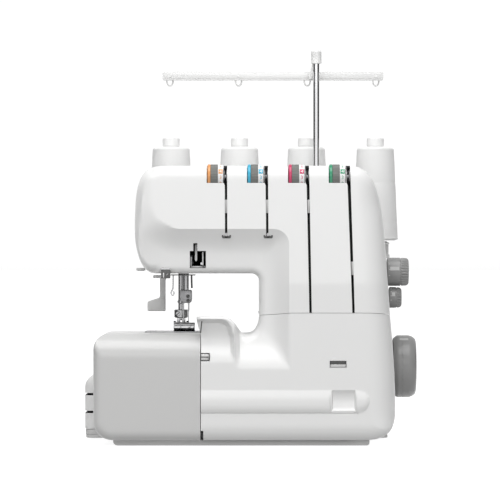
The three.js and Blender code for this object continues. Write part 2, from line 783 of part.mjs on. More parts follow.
// The fixed spindle of a dial with its two discs, and the thread guide below them behind the slot.
function tensionUnit(i) {
  const dial = DIAL_LEFT_X[i];
  const slotX = SLOT_TOP_X[i];
  const bridge = BRIDGE_Z[i];
  const down = (TOP_Z - bridge) / (TOP_Z - SLOT_FOOT_Z[i]);
  const guideX = slotX + (SLOT_FOOT_X[i] - slotX) * down;
  const right = Math.max(slotX, guideX) + 4;
  const at = [0, DIAL_Y, DIAL_Z];
  const spindle = rod(2.1, "x", [dial - 1.2, right], at, 12);
  const discs = [-1.9, 0.9].map((dx) => rod(7.4, "x", [slotX - 0.6 + dx, slotX - 0.6 + dx + 1], at, 12));
  const bracket = box([right - 2, right], [DIAL_Y - 2, -82.5], [bridge, DIAL_Z + 2]);
  const crossing = box([guideX - 4, right], [-110, -104], [bridge + 1, bridge + 14]);
  return join(spindle, ...discs, bracket, crossing);
}

function threadGuide(x) {
  const plateBody = box([x - 4.75, x + 4.75], [COVE_Y - 7, COVE_Y - 5.4], [215, 221.5]);
  const stem = box([x - 1.5, x + 1.5], [COVE_Y - 7, COVE_Y - 0.4], [215, 217.5]);
  return join(plateBody, stem);
}

function upperKnife() {
  const blade = box([-50.6, -48.8], [-56, -45], [90, 131]);
  const holder = box([-50.6, -30], [-56, -51], [88, 96]);
  return join(blade, holder);
}

// The axis of the rocker is in the plane of the casing's wall.
const SWITCH = [147.5, 94];

function rockerSwitch() {
  const [x, z] = SWITCH;
  const shape = polygon([
    [x - 3.5, z - 8],
    [x + 3.7, z - 8.5],
    [x + 1.5, z],
    [x + 0.4, z + 8.5],
    [x - 3.5, z + 8],
  ]);
  return slab(shape, [27, 43]);
}

function guideBar() {
  const rail = slab(roundedRect([-95.4, 145.5], [BAR_Z - 4.8, BAR_Z + 4.8], 4.5), [BAR_Y - 2, BAR_Y + 2]);
  const arm = box([POLE_X - 8, POLE_X - 5], [POLE_Y + 5, BAR_Y], [BAR_Z, BAR_Z + 9]);
  const hub = tube(3.9, 8.2, "z", [BAR_Z - 3, BAR_Z + 9], [POLE_X, POLE_Y, 0]);
  const eyelets = [-87.5, -12.5, 62.5, 137.5].map((x) =>
    join(
      tube(1.8, 4.4, "y", [BAR_Y - 1.2, BAR_Y + 10], [x, 0, BAR_Z - 7.2], 10),
      box([x - 3, x + 3], [BAR_Y - 1.2, BAR_Y + 10], [BAR_Z - 3.9, BAR_Z - 2]),
    ),
  );
  return join(rail, arm, hub, ...eyelets);
}

const POLE = [POLE_X, POLE_Y, 0];
const CONE_PROFILE = [
  [3.6, CONE_BOTTOM_Z],
  [24.8, CONE_BOTTOM_Z],
  [24.8, CONE_BOTTOM_Z + 3],
  [20.5, 313],
  [19.5, 315.5],
  [9.5, 316],
  [9.2, 325.6],
  [3.6, 325.6],
  [3.6, CONE_BOTTOM_Z],
];

// ---------------------------------------------------------------- the pieces
piece("base_plate", basePlate(), BASE_GREY);
for (const [name, x, y] of [
  ["foot_front_left", -115, -88],
  ["foot_front_right", 96, -88],
  ["foot_rear_left", -160, 66],
  ["foot_rear_right", 130, 66],
])
  piece(name, rod(11.5, "z", [0, 1.4], [x, y, 0]), RUBBER);
piece("main_frame", mainFrame(), CAST);
piece("needle_plate", needlePlate(), CHROME);
piece("lower_knife", box([-53.6, -51.3], [-58, -45], [96, 112.5]), STEEL);
piece("head_cover", headCover(), WHITE);
piece("rear_cover", rearCover(), WHITE);
piece("lower_casing", lowerCasing(), WHITE);
piece("looper_cover", looperCover(), WHITE);
piece("feed_window", box([82.6, 99.1], [FACE_Y + 0.6, FACE_Y + 2.6], [82.2, 88.4]), BLACK);
piece("cover_catch", box([-48.4, -41.9], [FACE_Y + 0.4, FACE_Y + 5], [88.8, 96.2]), WHITE);
piece("side_cover", sideCover(), GREY);
piece("spool_stand", spoolStand(), WHITE);
CONE_X.forEach((x, i) => piece(`thread_cone_${i + 1}`, turned(CONE_PROFILE, "z", [x, CONE_Y, 0], 18), THREAD));
piece("pole_lower_tube", tube(3.1, 4.3, "z", [188, 330], POLE), CHROME);
piece("pole_upper_tube", rod(2.7, "z", [250, 410], POLE, 16), CHROME);
piece("guide_bar", guideBar(), WHITE);
piece("pole_cap", tube(3.1, 5.7, "z", [BAR_Z + 9.4, 411], POLE).add(rod(5.7, "z", [410.9, POLE_TOP_Z], POLE)), WHITE);
piece("handwheel", handwheel(), KNOB_GREY);
piece("main_shaft", rod(5, "x", [-30, HALF_WIDTH - 5], SHAFT), STEEL);
piece("shaft_bush", tube(5.4, 11.6, "x", [58, 86], SHAFT), STEEL);
piece("machine_pulley", tube(5.4, MACHINE_PULLEY_R, "x", BELT_X, SHAFT, 24), CAST);
piece("drive_belt", driveBelt(), RUBBER);
piece("motor", rod(21, "x", [10, 82], MOTOR, 18).add(box([20, 70], [22, 58], [12.6, 36])), CAST);
piece("motor_pulley", rod(MOTOR_PULLEY_R, "x", [88, 106], MOTOR).add(rod(2.5, "x", [82.4, 89], MOTOR)), STEEL);
piece("stitch_length_dial", sideKnob(180, 14.9, [146, 169]), KNOB_GREY);
piece("differential_feed_dial", sideKnob(153, 11, [148, 161]), KNOB_GREY);
DIAL_LEFT_X.forEach((x, i) => piece(`tension_dial_${i + 1}`, tensionDial(x), KNOB_GREY));
DIAL_LEFT_X.forEach((x, i) => piece(`tension_unit_${i + 1}`, tensionUnit(i), STEEL));
piece("presser_foot_lifter", presserLifter(), KNOB_GREY);
piece("presser_bar", rod(3, "z", [135.5, 250], [PRESSER_X, PRESSER_Y, 0]), CHROME);
piece("presser_ankle", presserAnkle(), CHROME);
piece("presser_foot", presserFoot(), CHROME);
piece("needle_bar", rod(3, "z", [151.5, 262], [NEEDLE_X, NEEDLE_Y, 0]), CHROME);
piece("needle_clamp", needleClamp(), STEEL);
piece("needle_left", needle(-2.75), CHROME);
piece("needle_right", needle(2.75), CHROME);
piece("upper_looper", upperLooper(), CHROME);
piece("lower_looper", lowerLooper(), CHROME);
piece("upper_knife", upperKnife(), STEEL);
piece("take_up_lever", takeUpLever(), STEEL);
piece("feed_dogs", feedDogs(), STEEL);
piece("thread_guide_left", threadGuide(-24.4), STEEL);
piece("thread_guide_right", threadGuide(18.8), STEEL);
piece("thread_cutter", box([-119, -110], [-70, -50], [181.5, 184.2]), KNOB_GREY);
piece("power_switch", rockerSwitch(), BLACK);
piece("power_inlet", cut(box([136, 148.4], [24.5, 51.5], [24.5, 51.5]), box([139, 155], [28, 48], [28, 48])), BLACK);

export default root;
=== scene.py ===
import math

import bmesh
import bpy
import numpy as np
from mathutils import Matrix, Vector, geometry


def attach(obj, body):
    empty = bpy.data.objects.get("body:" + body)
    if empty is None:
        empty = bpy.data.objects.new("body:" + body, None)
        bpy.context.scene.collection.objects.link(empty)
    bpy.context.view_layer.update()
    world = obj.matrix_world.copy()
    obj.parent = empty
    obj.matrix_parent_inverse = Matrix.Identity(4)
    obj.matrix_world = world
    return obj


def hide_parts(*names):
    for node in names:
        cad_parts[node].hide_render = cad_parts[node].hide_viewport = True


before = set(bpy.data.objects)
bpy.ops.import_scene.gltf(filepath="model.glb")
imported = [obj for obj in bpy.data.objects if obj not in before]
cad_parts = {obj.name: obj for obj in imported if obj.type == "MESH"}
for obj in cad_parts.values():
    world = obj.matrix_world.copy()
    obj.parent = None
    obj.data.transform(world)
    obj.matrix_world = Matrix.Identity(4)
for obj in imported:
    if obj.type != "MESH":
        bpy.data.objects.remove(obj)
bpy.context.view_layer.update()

# The machine's lengths are in millimetres, and MM turns them into Blender's metres.
# The camera, the lights, the floor and the black cards are placed in metres.
MM = 0.001
FACE_Y = -127.5  # front of the covers
COVE_Y = -111.0  # front of the recessed band round the sewing space
SPLIT_Y = -20.0  # joint between the front and the rear casing
REAR_Y = 50.0  # rear of the head and the column
LEAN_Z, LEAN = 168.0, 0.1  # above this height the face leans back
TOP_Z = 290.5
SEAM_Z = 138.0  # joint between the head and the looper cover, at the front
SEAM_TILT = 0.13  # the joint runs down towards the rear
CREASE_X, CREASE_Z, CREASE_R = 40.5, 224.8, 16.0  # side and top of the recessed band, and its round corner
NEEDLE = (-67.5, -42.0)
PRESSER = (-73.0, -26.0)
CONE_X = (-86.5, -11.5, 62.0, 137.5)
CONE_Y = 105.2
POLE = (72.0, 68.0)
DIAL_X = (-44.2, -2.6, 39.9, 82.0)
DIAL_Y, DIAL_Z = -104.5, 279.0
SLOT_TOP_X = (-24.9, 17.3, 59.8, 102.1)
SLOT_FOOT_X = (-24.6, 17.9, 62.6, 107.0)
SLOT_FOOT_Z = (217.0, 217.0, SEAM_Z, SEAM_Z)
BRIDGE_Z = (241.0, 241.0, 241.0, 177.0)
WHEEL_Y, WHEEL_Z = -15, 79.5
KNOB_Y, STITCH_KNOB_Z, FEED_KNOB_Z = -45, 180, 153
COVER_LOW = 6.4  # lower edge of both covers
SIDE_TOP, SIDE_ROLL = 116.8, 28  # top of the grey side cover, and how far its front edge rolls back
BASE_Z = 12.3  # underside of the housing behind the covers
SOCKET_HOLE = ((130, 160), (24, 52), (24, 52))  # x, y and z of the hole for the mains inlet


# ------------------------------------------------------------------ camera, light, floor
def add_camera():
    data = bpy.data.cameras.new("camera")
    data.lens, data.sensor_width = 251.6, 36.0
    data.clip_start, data.clip_end = 0.1, 200.0
    camera = bpy.data.objects.new("camera", data)
    camera.location = (0, -3.73, 0.203)
    camera.rotation_euler = (math.pi / 2, 0, 0)
    bpy.context.scene.collection.objects.link(camera)
    bpy.context.scene.camera = camera


def add_light(name, location, target, size, power):
    data = bpy.data.lights.new(name, "AREA")
    data.shape = "RECTANGLE"
    data.size, data.size_y = size
    data.energy = power
    light = bpy.data.objects.new(name, data)
    light.location = location
    aim = Vector(target) - Vector(location)
    light.rotation_euler = aim.to_track_quat("-Z", "Y").to_euler()
    bpy.context.scene.collection.objects.link(light)


def add_world():
    world = bpy.data.worlds.new("studio")
    bpy.context.scene.world = world
    world.use_nodes = True
    tree = world.node_tree
    nodes, links = tree.nodes, tree.links
    background = nodes["Background"]
    direction = nodes.new("ShaderNodeTexCoord").outputs["Generated"]
    split = nodes.new("ShaderNodeSeparateXYZ")
    links.new(direction, split.inputs[0])

    def ramp(source, low, high, stops):
        spread = nodes.new("ShaderNodeMapRange")
        spread.inputs["From Min"].default_value = low
        spread.inputs["From Max"].default_value = high
        links.new(source, spread.inputs["Value"])
        colours = nodes.new("ShaderNodeValToRGB")
        elements = colours.color_ramp.elements
        while len(elements) < len(stops):
            elements.new(0.5)
        for element, (at, value) in zip(elements, stops):
            element.position = at
            element.color = (value, value, value, 1)
        links.new(spread.outputs[0], colours.inputs[0])
        return colours.outputs[0]

    def multiply(a, b):
        mix = nodes.new("ShaderNodeMix")
        mix.data_type, mix.blend_type = "RGBA", "MULTIPLY"
        mix.inputs["Factor"].default_value = 1
        links.new(a, mix.inputs["A"])
        links.new(b, mix.inputs["B"])
        return mix.outputs["Result"]

    height = ramp(split.outputs["Z"], -1, 1, [(0, 0.3), (0.47, 0.37), (0.5, 0.76), (0.6, 0.75), (1.0, 0.5)])
    across = ramp(split.outputs["X"], -1, 1, [(0, 0.5), (0.33, 0.98), (0.5, 1.0), (0.65, 0.96), (1.0, 0.58)])
    along = ramp(split.outputs["Y"], -1, 1, [(0, 1.0), (0.3, 0.86), (0.5, 0.72), (1.0, 1.0)])
    links.new(multiply(multiply(height, across), along), background.inputs["Color"])
    background.inputs["Strength"].default_value = 1.38


def add_floor():
    mesh = bpy.data.meshes.new("floor")
    half = 30.0
    corners = [(-half, -half, 0), (half, -half, 0), (half, half, 0), (-half, half, 0)]
    mesh.from_pydata(corners, [], [(0, 1, 2, 3)])
    floor = bpy.data.objects.new("floor", mesh)
    bpy.context.scene.collection.objects.link(floor)
    paint = bpy.data.materials.new("floor_paint")
    paint.use_nodes = True
    shader = paint.node_tree.nodes["Principled BSDF"]
    shader.inputs["Base Color"].default_value = (0.5, 0.5, 0.5, 1)
    shader.inputs["Roughness"].default_value = 1.0
    shader.inputs["Specular IOR Level"].default_value = 0.0
    shader.inputs["Emission Color"].default_value = (1, 1, 1, 1)
    shader.inputs["Emission Strength"].default_value = 0.85
    mesh.materials.append(paint)
    floor.visible_diffuse = False


def add_flags():
    """Black cards at both sides, seen only in reflections, which give polished parts their dark edges."""
    black = bpy.data.materials.new("flag_black")
    black.use_nodes = True
    black.node_tree.nodes["Principled BSDF"].inputs["Base Color"].default_value = (0.01, 0.01, 0.01, 1)
    for side in (-1, 1):
        mesh = bpy.data.meshes.new("flag")
        x = 1.6 * side
        mesh.from_pydata([(x, -1.1, 0), (x, 1.6, 0), (x, 1.6, 0.75), (x, -1.1, 0.75)], [], [(0, 1, 2, 3)])
        flag = bpy.data.objects.new("flag", mesh)
        bpy.context.scene.collection.objects.link(flag)
        mesh.materials.append(black)
        flag.visible_camera = flag.visible_diffuse = flag.visible_shadow = False


# ------------------------------------------------------------------ materials
def material(name, colour, rough, metallic=0.0, coat=0.0, vary=0.03, grain=(900.0, 0.04), rings=None):
    """A moulded, painted or metal surface: slight colour and gloss changes, and a fine grain.
    rings=(per metre, strength) adds lines across Z, as of wound thread or a turned part."""
    mat = bpy.data.materials.new(name)
    mat.use_nodes = True
    nodes, links = mat.node_tree.nodes, mat.node_tree.links
    shader = nodes["Principled BSDF"]
    shader.inputs["Metallic"].default_value = metallic
    shader.inputs["Coat Weight"].default_value = coat
    shader.inputs["Coat Roughness"].default_value = 0.12
    where = nodes.new("ShaderNodeTexCoord").outputs["Object"]

    def noise(scale, detail=3.0):
        node = nodes.new("ShaderNodeTexNoise")
        node.inputs["Scale"].default_value = scale
        node.inputs["Detail"].default_value = detail
        links.new(where, node.inputs["Vector"])
        return node.outputs["Fac"]

    tint = nodes.new("ShaderNodeMix")
    tint.data_type = "RGBA"
    for socket, share in (("A", 1 - vary), ("B", 1 + vary)):
        tint.inputs[socket].default_value = [min(1, c * share) for c in colour] + [1]
    links.new(noise(28.0), tint.inputs["Factor"])
    links.new(tint.outputs["Result"], shader.inputs["Base Color"])
    gloss = nodes.new("ShaderNodeMapRange")
    gloss.inputs["To Min"].default_value = rough * 0.85
    gloss.inputs["To Max"].default_value = min(1, rough * 1.15)
    links.new(noise(75.0), gloss.inputs["Value"])
    links.new(gloss.outputs[0], shader.inputs["Roughness"])
    bump = nodes.new("ShaderNodeBump")
    bump.inputs["Strength"].default_value = grain[1]
    bump.inputs["Distance"].default_value = 0.0004
    links.new(noise(grain[0], 2.0), bump.inputs["Height"])
    if rings:
        wave = nodes.new("ShaderNodeTexWave")
        wave.bands_direction = "Z"
        wave.inputs["Scale"].default_value = rings[0]
        wave.inputs["Distortion"].default_value = 0.6
        wave.inputs["Detail"].default_value = 1.0
        links.new(where, wave.inputs["Vector"])
        second = nodes.new("ShaderNodeBump")
        second.inputs["Strength"].default_value = rings[1]
        second.inputs["Distance"].default_value = 0.0004
        links.new(wave.outputs["Fac"], second.inputs["Height"])
        links.new(bump.outputs[0], second.inputs["Normal"])
        bump = second
    links.new(bump.outputs[0], shader.inputs["Normal"])
    return mat


def grey(value):
    return (value, value * 0.998, value * 0.99)


WHITE = material("white_plastic", (0.80, 0.80, 0.795), 0.34, coat=0.15, vary=0.008)
GREY = material("grey_plastic", grey(0.565), 0.32, coat=0.25, vary=0.01)
LIGHT_GREY = material("light_grey_plastic", grey(0.6), 0.4, vary=0.015)
KNOB = material("knob_grey_plastic", grey(0.26), 0.36, coat=0.1, vary=0.03, grain=(1300.0, 0.08))
GRIP = material("dial_grip_plastic", (0.15, 0.155, 0.145), 0.4, vary=0.04, grain=(1300.0, 0.08))
KNOB_PALE = material("knob_pale_mark", grey(0.5), 0.4, vary=0.02)
BASE = material("base_moulding_grey", grey(0.64), 0.45, vary=0.03, grain=(1400.0, 0.1))
RUBBER = material("foot_black_rubber", grey(0.02), 0.75, vary=0.15, grain=(700.0, 0.3))
BLACK_AND_SHADE = material("black_plastic", grey(0.012), 0.5, vary=0.1, grain=(1200.0, 0.1))
CHROME = material("polished_chrome", (0.82, 0.82, 0.83), 0.09, metallic=1.0, vary=0.02, grain=(300.0, 0.01))
LIFT = material("lifter_grey_plastic", grey(0.72), 0.4, vary=0.02)
STEEL = material(
    "ground_steel", (0.6, 0.6, 0.61), 0.27, metallic=1.0, vary=0.06, grain=(1600.0, 0.12), rings=(260.0, 0.05)
)
NICKEL = material(
    "nickel_plated_steel", (0.40, 0.40, 0.405), 0.16, metallic=1.0, vary=0.05, grain=(700.0, 0.04)
)
DARK_STEEL_AND_SHADE = material("blued_steel_and_painted_shade", (0.26, 0.26, 0.265), 0.35, metallic=1.0, vary=0.1, grain=(1400.0, 0.1))
CAST = material("cast_aluminium", (0.42, 0.43, 0.44), 0.55, metallic=0.7, vary=0.08, grain=(500.0, 0.35))
MOTOR = material("painted_motor_steel", grey(0.09), 0.4, metallic=0.6, vary=0.08, grain=(900.0, 0.15))
BELT = material("toothed_belt_rubber", grey(0.015), 0.7, vary=0.2, grain=(600.0, 0.3))
THREAD = material(
    "wound_white_thread", (0.83, 0.83, 0.825), 0.85, vary=0.02, grain=(1500.0, 0.35), rings=(420.0, 0.3)
)
SPOOL = material("spool_white_plastic", (0.82, 0.82, 0.815), 0.4, vary=0.01)
WINDOW_SHADE = material("feed_window_painted_shade", grey(0.02), 0.15, coat=0.6, vary=0.05)
PRINT_AND_GLINT = material("scale_white_and_painted_glint", (0.86, 0.86, 0.86), 0.4, vary=0.01)
RIM_COLOURS = {
    "orange": (0.72, 0.30, 0.08),
    "blue": (0.015, 0.40, 0.60),
    "crimson": (0.55, 0.012, 0.10),
    "green": (0.010, 0.27, 0.13),
}
RIMS = {}
for rim_name, rim_colour in RIM_COLOURS.items():
    RIMS[rim_name] = material("dial_" + rim_name, rim_colour, 0.3, coat=0.5, vary=0.04)


# ------------------------------------------------------------------ meshes
def object_from(mesh, name, body, replaced=()):
    thing = bpy.data.objects.new(name, mesh)
    bpy.context.scene.collection.objects.link(thing)
    if replaced:
        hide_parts(*replaced)
    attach(thing, body)
    return thing


def open_edges(faces):
    """The edges (a, b) that only one face has."""
    edges = {(int(f[k - 1]), int(f[k])) for f in faces for k in range(len(f))}
    return sorted((a, b) for a, b in edges if (b, a) not in edges)


def shade(mesh, angle=32):
    mesh.polygons.foreach_set("use_smooth", [True] * len(mesh.polygons))
    mesh.set_sharp_from_angle(angle=math.radians(angle))


def unit_loop(loop, step):
    """The closed loop with points about a step apart; its corners stay."""
    points = []
    for a, b in zip(loop, np.roll(loop, -1, axis=0)):
        count = max(1, int(round(np.hypot(*(b - a)) / step)))
        points += [a + (b - a) * k / count for k in range(count)]
    return np.array(points)


def curve(*parts, steps=14):
    """A closed loop from a start point, line ends (x, z) and Bezier triples ((x, z), (x, z), (x, z))."""
    points = [np.array(parts[0], float)]
    for part in parts[1:]:
        if isinstance(part[0], (int, float)):
            points.append(np.array(part, float))
            continue
        a, (b, c, d) = points[-1], [np.array(p, float) for p in part]
        for t in np.linspace(0, 1, steps + 1)[1:]:
            points.append((1 - t) ** 3 * a + 3 * (1 - t) ** 2 * t * b + 3 * (1 - t) * t * t * c + t**3 * d)
    return np.array(points)


def rounded(x0, x1, z0, z1, radii, steps=8):
    """A rectangle with corner radii (lower left, lower right, upper right, upper left), anticlockwise."""
    corners = [(x0, z0, 1, 1, 180), (x1, z0, -1, 1, 270), (x1, z1, -1, -1, 0), (x0, z1, 1, -1, 90)]
    points = []
    for (x, z, sx, sz, start), r in zip(corners, radii):
        if r == 0:
            points.append((x, z))
            continue
        for a in np.radians(np.linspace(start, start + 90, steps + 1)):
            points.append((x + sx * r + r * math.cos(a), z + sz * r + r * math.sin(a)))
    return np.array(points)


def segment_distances(points, a, b):
    """Distance of each point to each segment a-b."""
    along = b - a
    length = np.maximum((along**2).sum(1), 1e-12)
    rel = points[:, None, :] - a[None]
    t = np.clip((rel * along[None]).sum(2) / length[None], 0, 1)
    return np.sqrt(((rel - t[..., None] * along[None]) ** 2).sum(2))


def inside(points, loop):
    a, b = loop, np.roll(loop, -1, axis=0)
    x, z = points[:, 0][:, None], points[:, 1][:, None]
    crosses = (a[:, 1][None] > z) != (b[:, 1][None] > z)
    rise = np.where(np.abs(b[:, 1] - a[:, 1]) < 1e-12, 1e-12, b[:, 1] - a[:, 1])
    at = a[:, 0][None] + (z - a[:, 1][None]) / rise[None] * (b[:, 0] - a[:, 0])[None]
    return (crosses & (x < at)).sum(1) % 2 == 1


def smooth(t):
    t = np.clip(t, 0, 1)
    return t * t * (3 - 2 * t)


def edge_drop(points, loop, edge):
    """How far a rounded edge falls back at each point. edge(x, z) gives each side's width and depth."""
    a, b = loop, np.roll(loop, -1, axis=0)
    width, depth = edge(*((a + b) / 2).T)
    keep = width > 0.3
    if not keep.any():
        return np.zeros(len(points))
    d = segment_distances(points, a[keep], b[keep])
    t = np.clip(1 - d / width[keep][None], 0, 1)
    return (depth[keep][None] * (1 - np.sqrt(np.maximum(0, 1 - t * t)))).max(1)


def triangulated(loop, edge, lines=(), spacing=2.4):
    """Points and triangles that fill the loop: rows beside rounded edges, a grid, and the given lines."""
    n = len(loop)
    side = np.roll(loop, -1, axis=0) - loop
    side /= np.maximum(np.hypot(*side.T), 1e-9)[:, None]
    out = np.stack([side[:, 1], -side[:, 0]], 1)
    normal = out + np.roll(out, 1, axis=0)
    normal /= np.maximum(np.hypot(*normal.T), 1e-6)[:, None]
    width, _ = edge(*loop.T)
    rows = []
    for angle in (12, 24, 36, 48, 60, 72, 84):
        inset = width * (1 - math.cos(math.radians(angle)))
        pick = inset > 0.1
        rows.append(np.column_stack([loop - normal * inset[:, None], inset])[pick])
    rows = np.concatenate(rows) if rows else np.zeros((0, 3))
    if len(rows):
        gap = segment_distances(rows[:, :2], loop, np.roll(loop, -1, axis=0)).min(1)
        rows = rows[(gap > rows[:, 2] * 0.93) & inside(rows[:, :2], loop)]
        _, first = np.unique(np.round(rows[:, :2] / 0.7), axis=0, return_index=True)
        rows = rows[np.sort(first)]
    low, high = loop.min(0), loop.max(0)
    xs = np.arange(low[0] + spacing / 2, high[0], spacing)
    zs = np.arange(low[1] + spacing / 2, high[1], spacing)
    grid = np.stack(np.meshgrid(xs, zs), -1).reshape(-1, 2)
    grid = grid[inside(grid, loop)]
    gap = segment_distances(grid, loop, np.roll(loop, -1, axis=0)).min(1)
    grid = grid[gap > spacing * 0.5]
    if len(rows):
        clear = np.ones(len(grid), bool)
        for start in range(0, len(grid), 2000):
            part = grid[start : start + 2000]
            d = np.abs(part[:, None, :] - rows[None, :, :2]).max(2).min(1)
            clear[start : start + 2000] = d > spacing * 0.42
        grid = grid[clear]
    free = np.concatenate([rows[:, :2], grid]) if len(rows) else grid
    points, edges = list(map(tuple, loop)), [(i, (i + 1) % n) for i in range(n)]
    for line in lines:
        line = np.array(line, float)
        gap = segment_distances(free, line[:-1], line[1:]).min(1)
        free = free[gap > 0.5]
        first = len(points)
        points += list(map(tuple, line))
        edges += [(first + k, first + k + 1) for k in range(len(line) - 1)]
    points += list(map(tuple, free))
    verts, _, faces, *_ = geometry.delaunay_2d_cdt([Vector(p) for p in points], edges, [], 0, 1e-5, False)
    verts = np.array([tuple(v) for v in verts])
    faces = np.array([f for f in faces if len(f) == 3])
    faces = faces[inside(verts[faces].mean(1), loop)]
    a, b, c = verts[faces[:, 0]], verts[faces[:, 1]], verts[faces[:, 2]]
    turn = (b[:, 0] - a[:, 0]) * (c[:, 1] - a[:, 1]) - (b[:, 1] - a[:, 1]) * (c[:, 0] - a[:, 0])
    faces[turn < 0] = faces[turn < 0][:, ::-1]
    return verts, faces


def skin(loop, depth, edge, back, facing=-1, lines=(), spacing=2.4, step=1.8, wall=2.6, inner=1):
    """A moulded shell: a face y = depth(points, drop) inside the loop, with walls back to y = back.
    facing is -1 for a face towards the operator, 1 for a face towards the rear."""
    loop = unit_loop(loop, step)
    verts, faces = triangulated(loop, edge, lines, spacing)
    y = depth(verts, edge_drop(verts, loop, edge))
    form = bmesh.new()
    front = [form.verts.new((x * MM, depth_y * MM, z * MM)) for (x, z), depth_y in zip(verts, y)]
    for f in faces if facing < 0 else faces[:, ::-1]:
        form.faces.new([front[i] for i in f])
    rim = [e for e in form.edges if len(e.link_faces) == 1]
    made = bmesh.ops.extrude_edge_only(form, edges=rim)
    for v in made["geom"]:
        if isinstance(v, bmesh.types.BMVert):
            v.co.y = (back(v.co.x / MM, v.co.z / MM) if callable(back) else back) * MM
    bmesh.ops.recalc_face_normals(form, faces=form.faces)
    outward = sum(f.normal.y * f.calc_area() for f in form.faces)
    if outward * facing < 0:
        bmesh.ops.reverse_faces(form, faces=form.faces)
    mesh = bpy.data.meshes.new("skin")
    form.to_mesh(mesh)
    form.free()
    # inner 1 paints the inside faces black: painted shade inside the shell.
    return thicken(mesh, wall, inner)


def applied(mesh, modifiers):
    """The mesh with the given modifiers applied."""
    holder = bpy.data.objects.new("holder", mesh)
    bpy.context.scene.collection.objects.link(holder)
    for kind, values in modifiers:
        modifier = holder.modifiers.new(kind.lower(), kind)
        for key, value in values.items():
            setattr(modifier, key, value)
    graph = bpy.context.evaluated_depsgraph_get()
    result = bpy.data.meshes.new_from_object(holder.evaluated_get(graph), depsgraph=graph)
    bpy.data.objects.remove(holder)
    return result


def thicken(mesh, wall, inner=1):
    # The inside faces take the finish that inner picks: 1 is black, painted shade inside the shell; 2 is
    # light grey.
    for finish in (WHITE, BLACK_AND_SHADE, LIGHT_GREY):
        mesh.materials.append(finish)
    values = {"thickness": wall * MM, "offset": -1.0, "material_offset": inner, "use_even_offset": False}
    return applied(mesh, [("SOLIDIFY", values)])


def carved(mesh, *cutters):
    """The mesh less each cutter, which is a Form of separate closed solids."""
    modifiers, helpers = [], []
    for cutter in cutters:
        # Faces of a cutter in material 1 leave black walls where they cut: painted shade in slots, windows
        # and vents.
        helper = bpy.data.objects.new("cutter", cutter.mesh([WHITE, BLACK_AND_SHADE]))
        bpy.context.scene.collection.objects.link(helper)
        helpers.append(helper)
        modifiers.append(("BOOLEAN", {"operation": "DIFFERENCE", "object": helper, "solver": "MANIFOLD"}))
    result = applied(mesh, modifiers)
    for helper in helpers:
        bpy.data.objects.remove(helper)
    return result


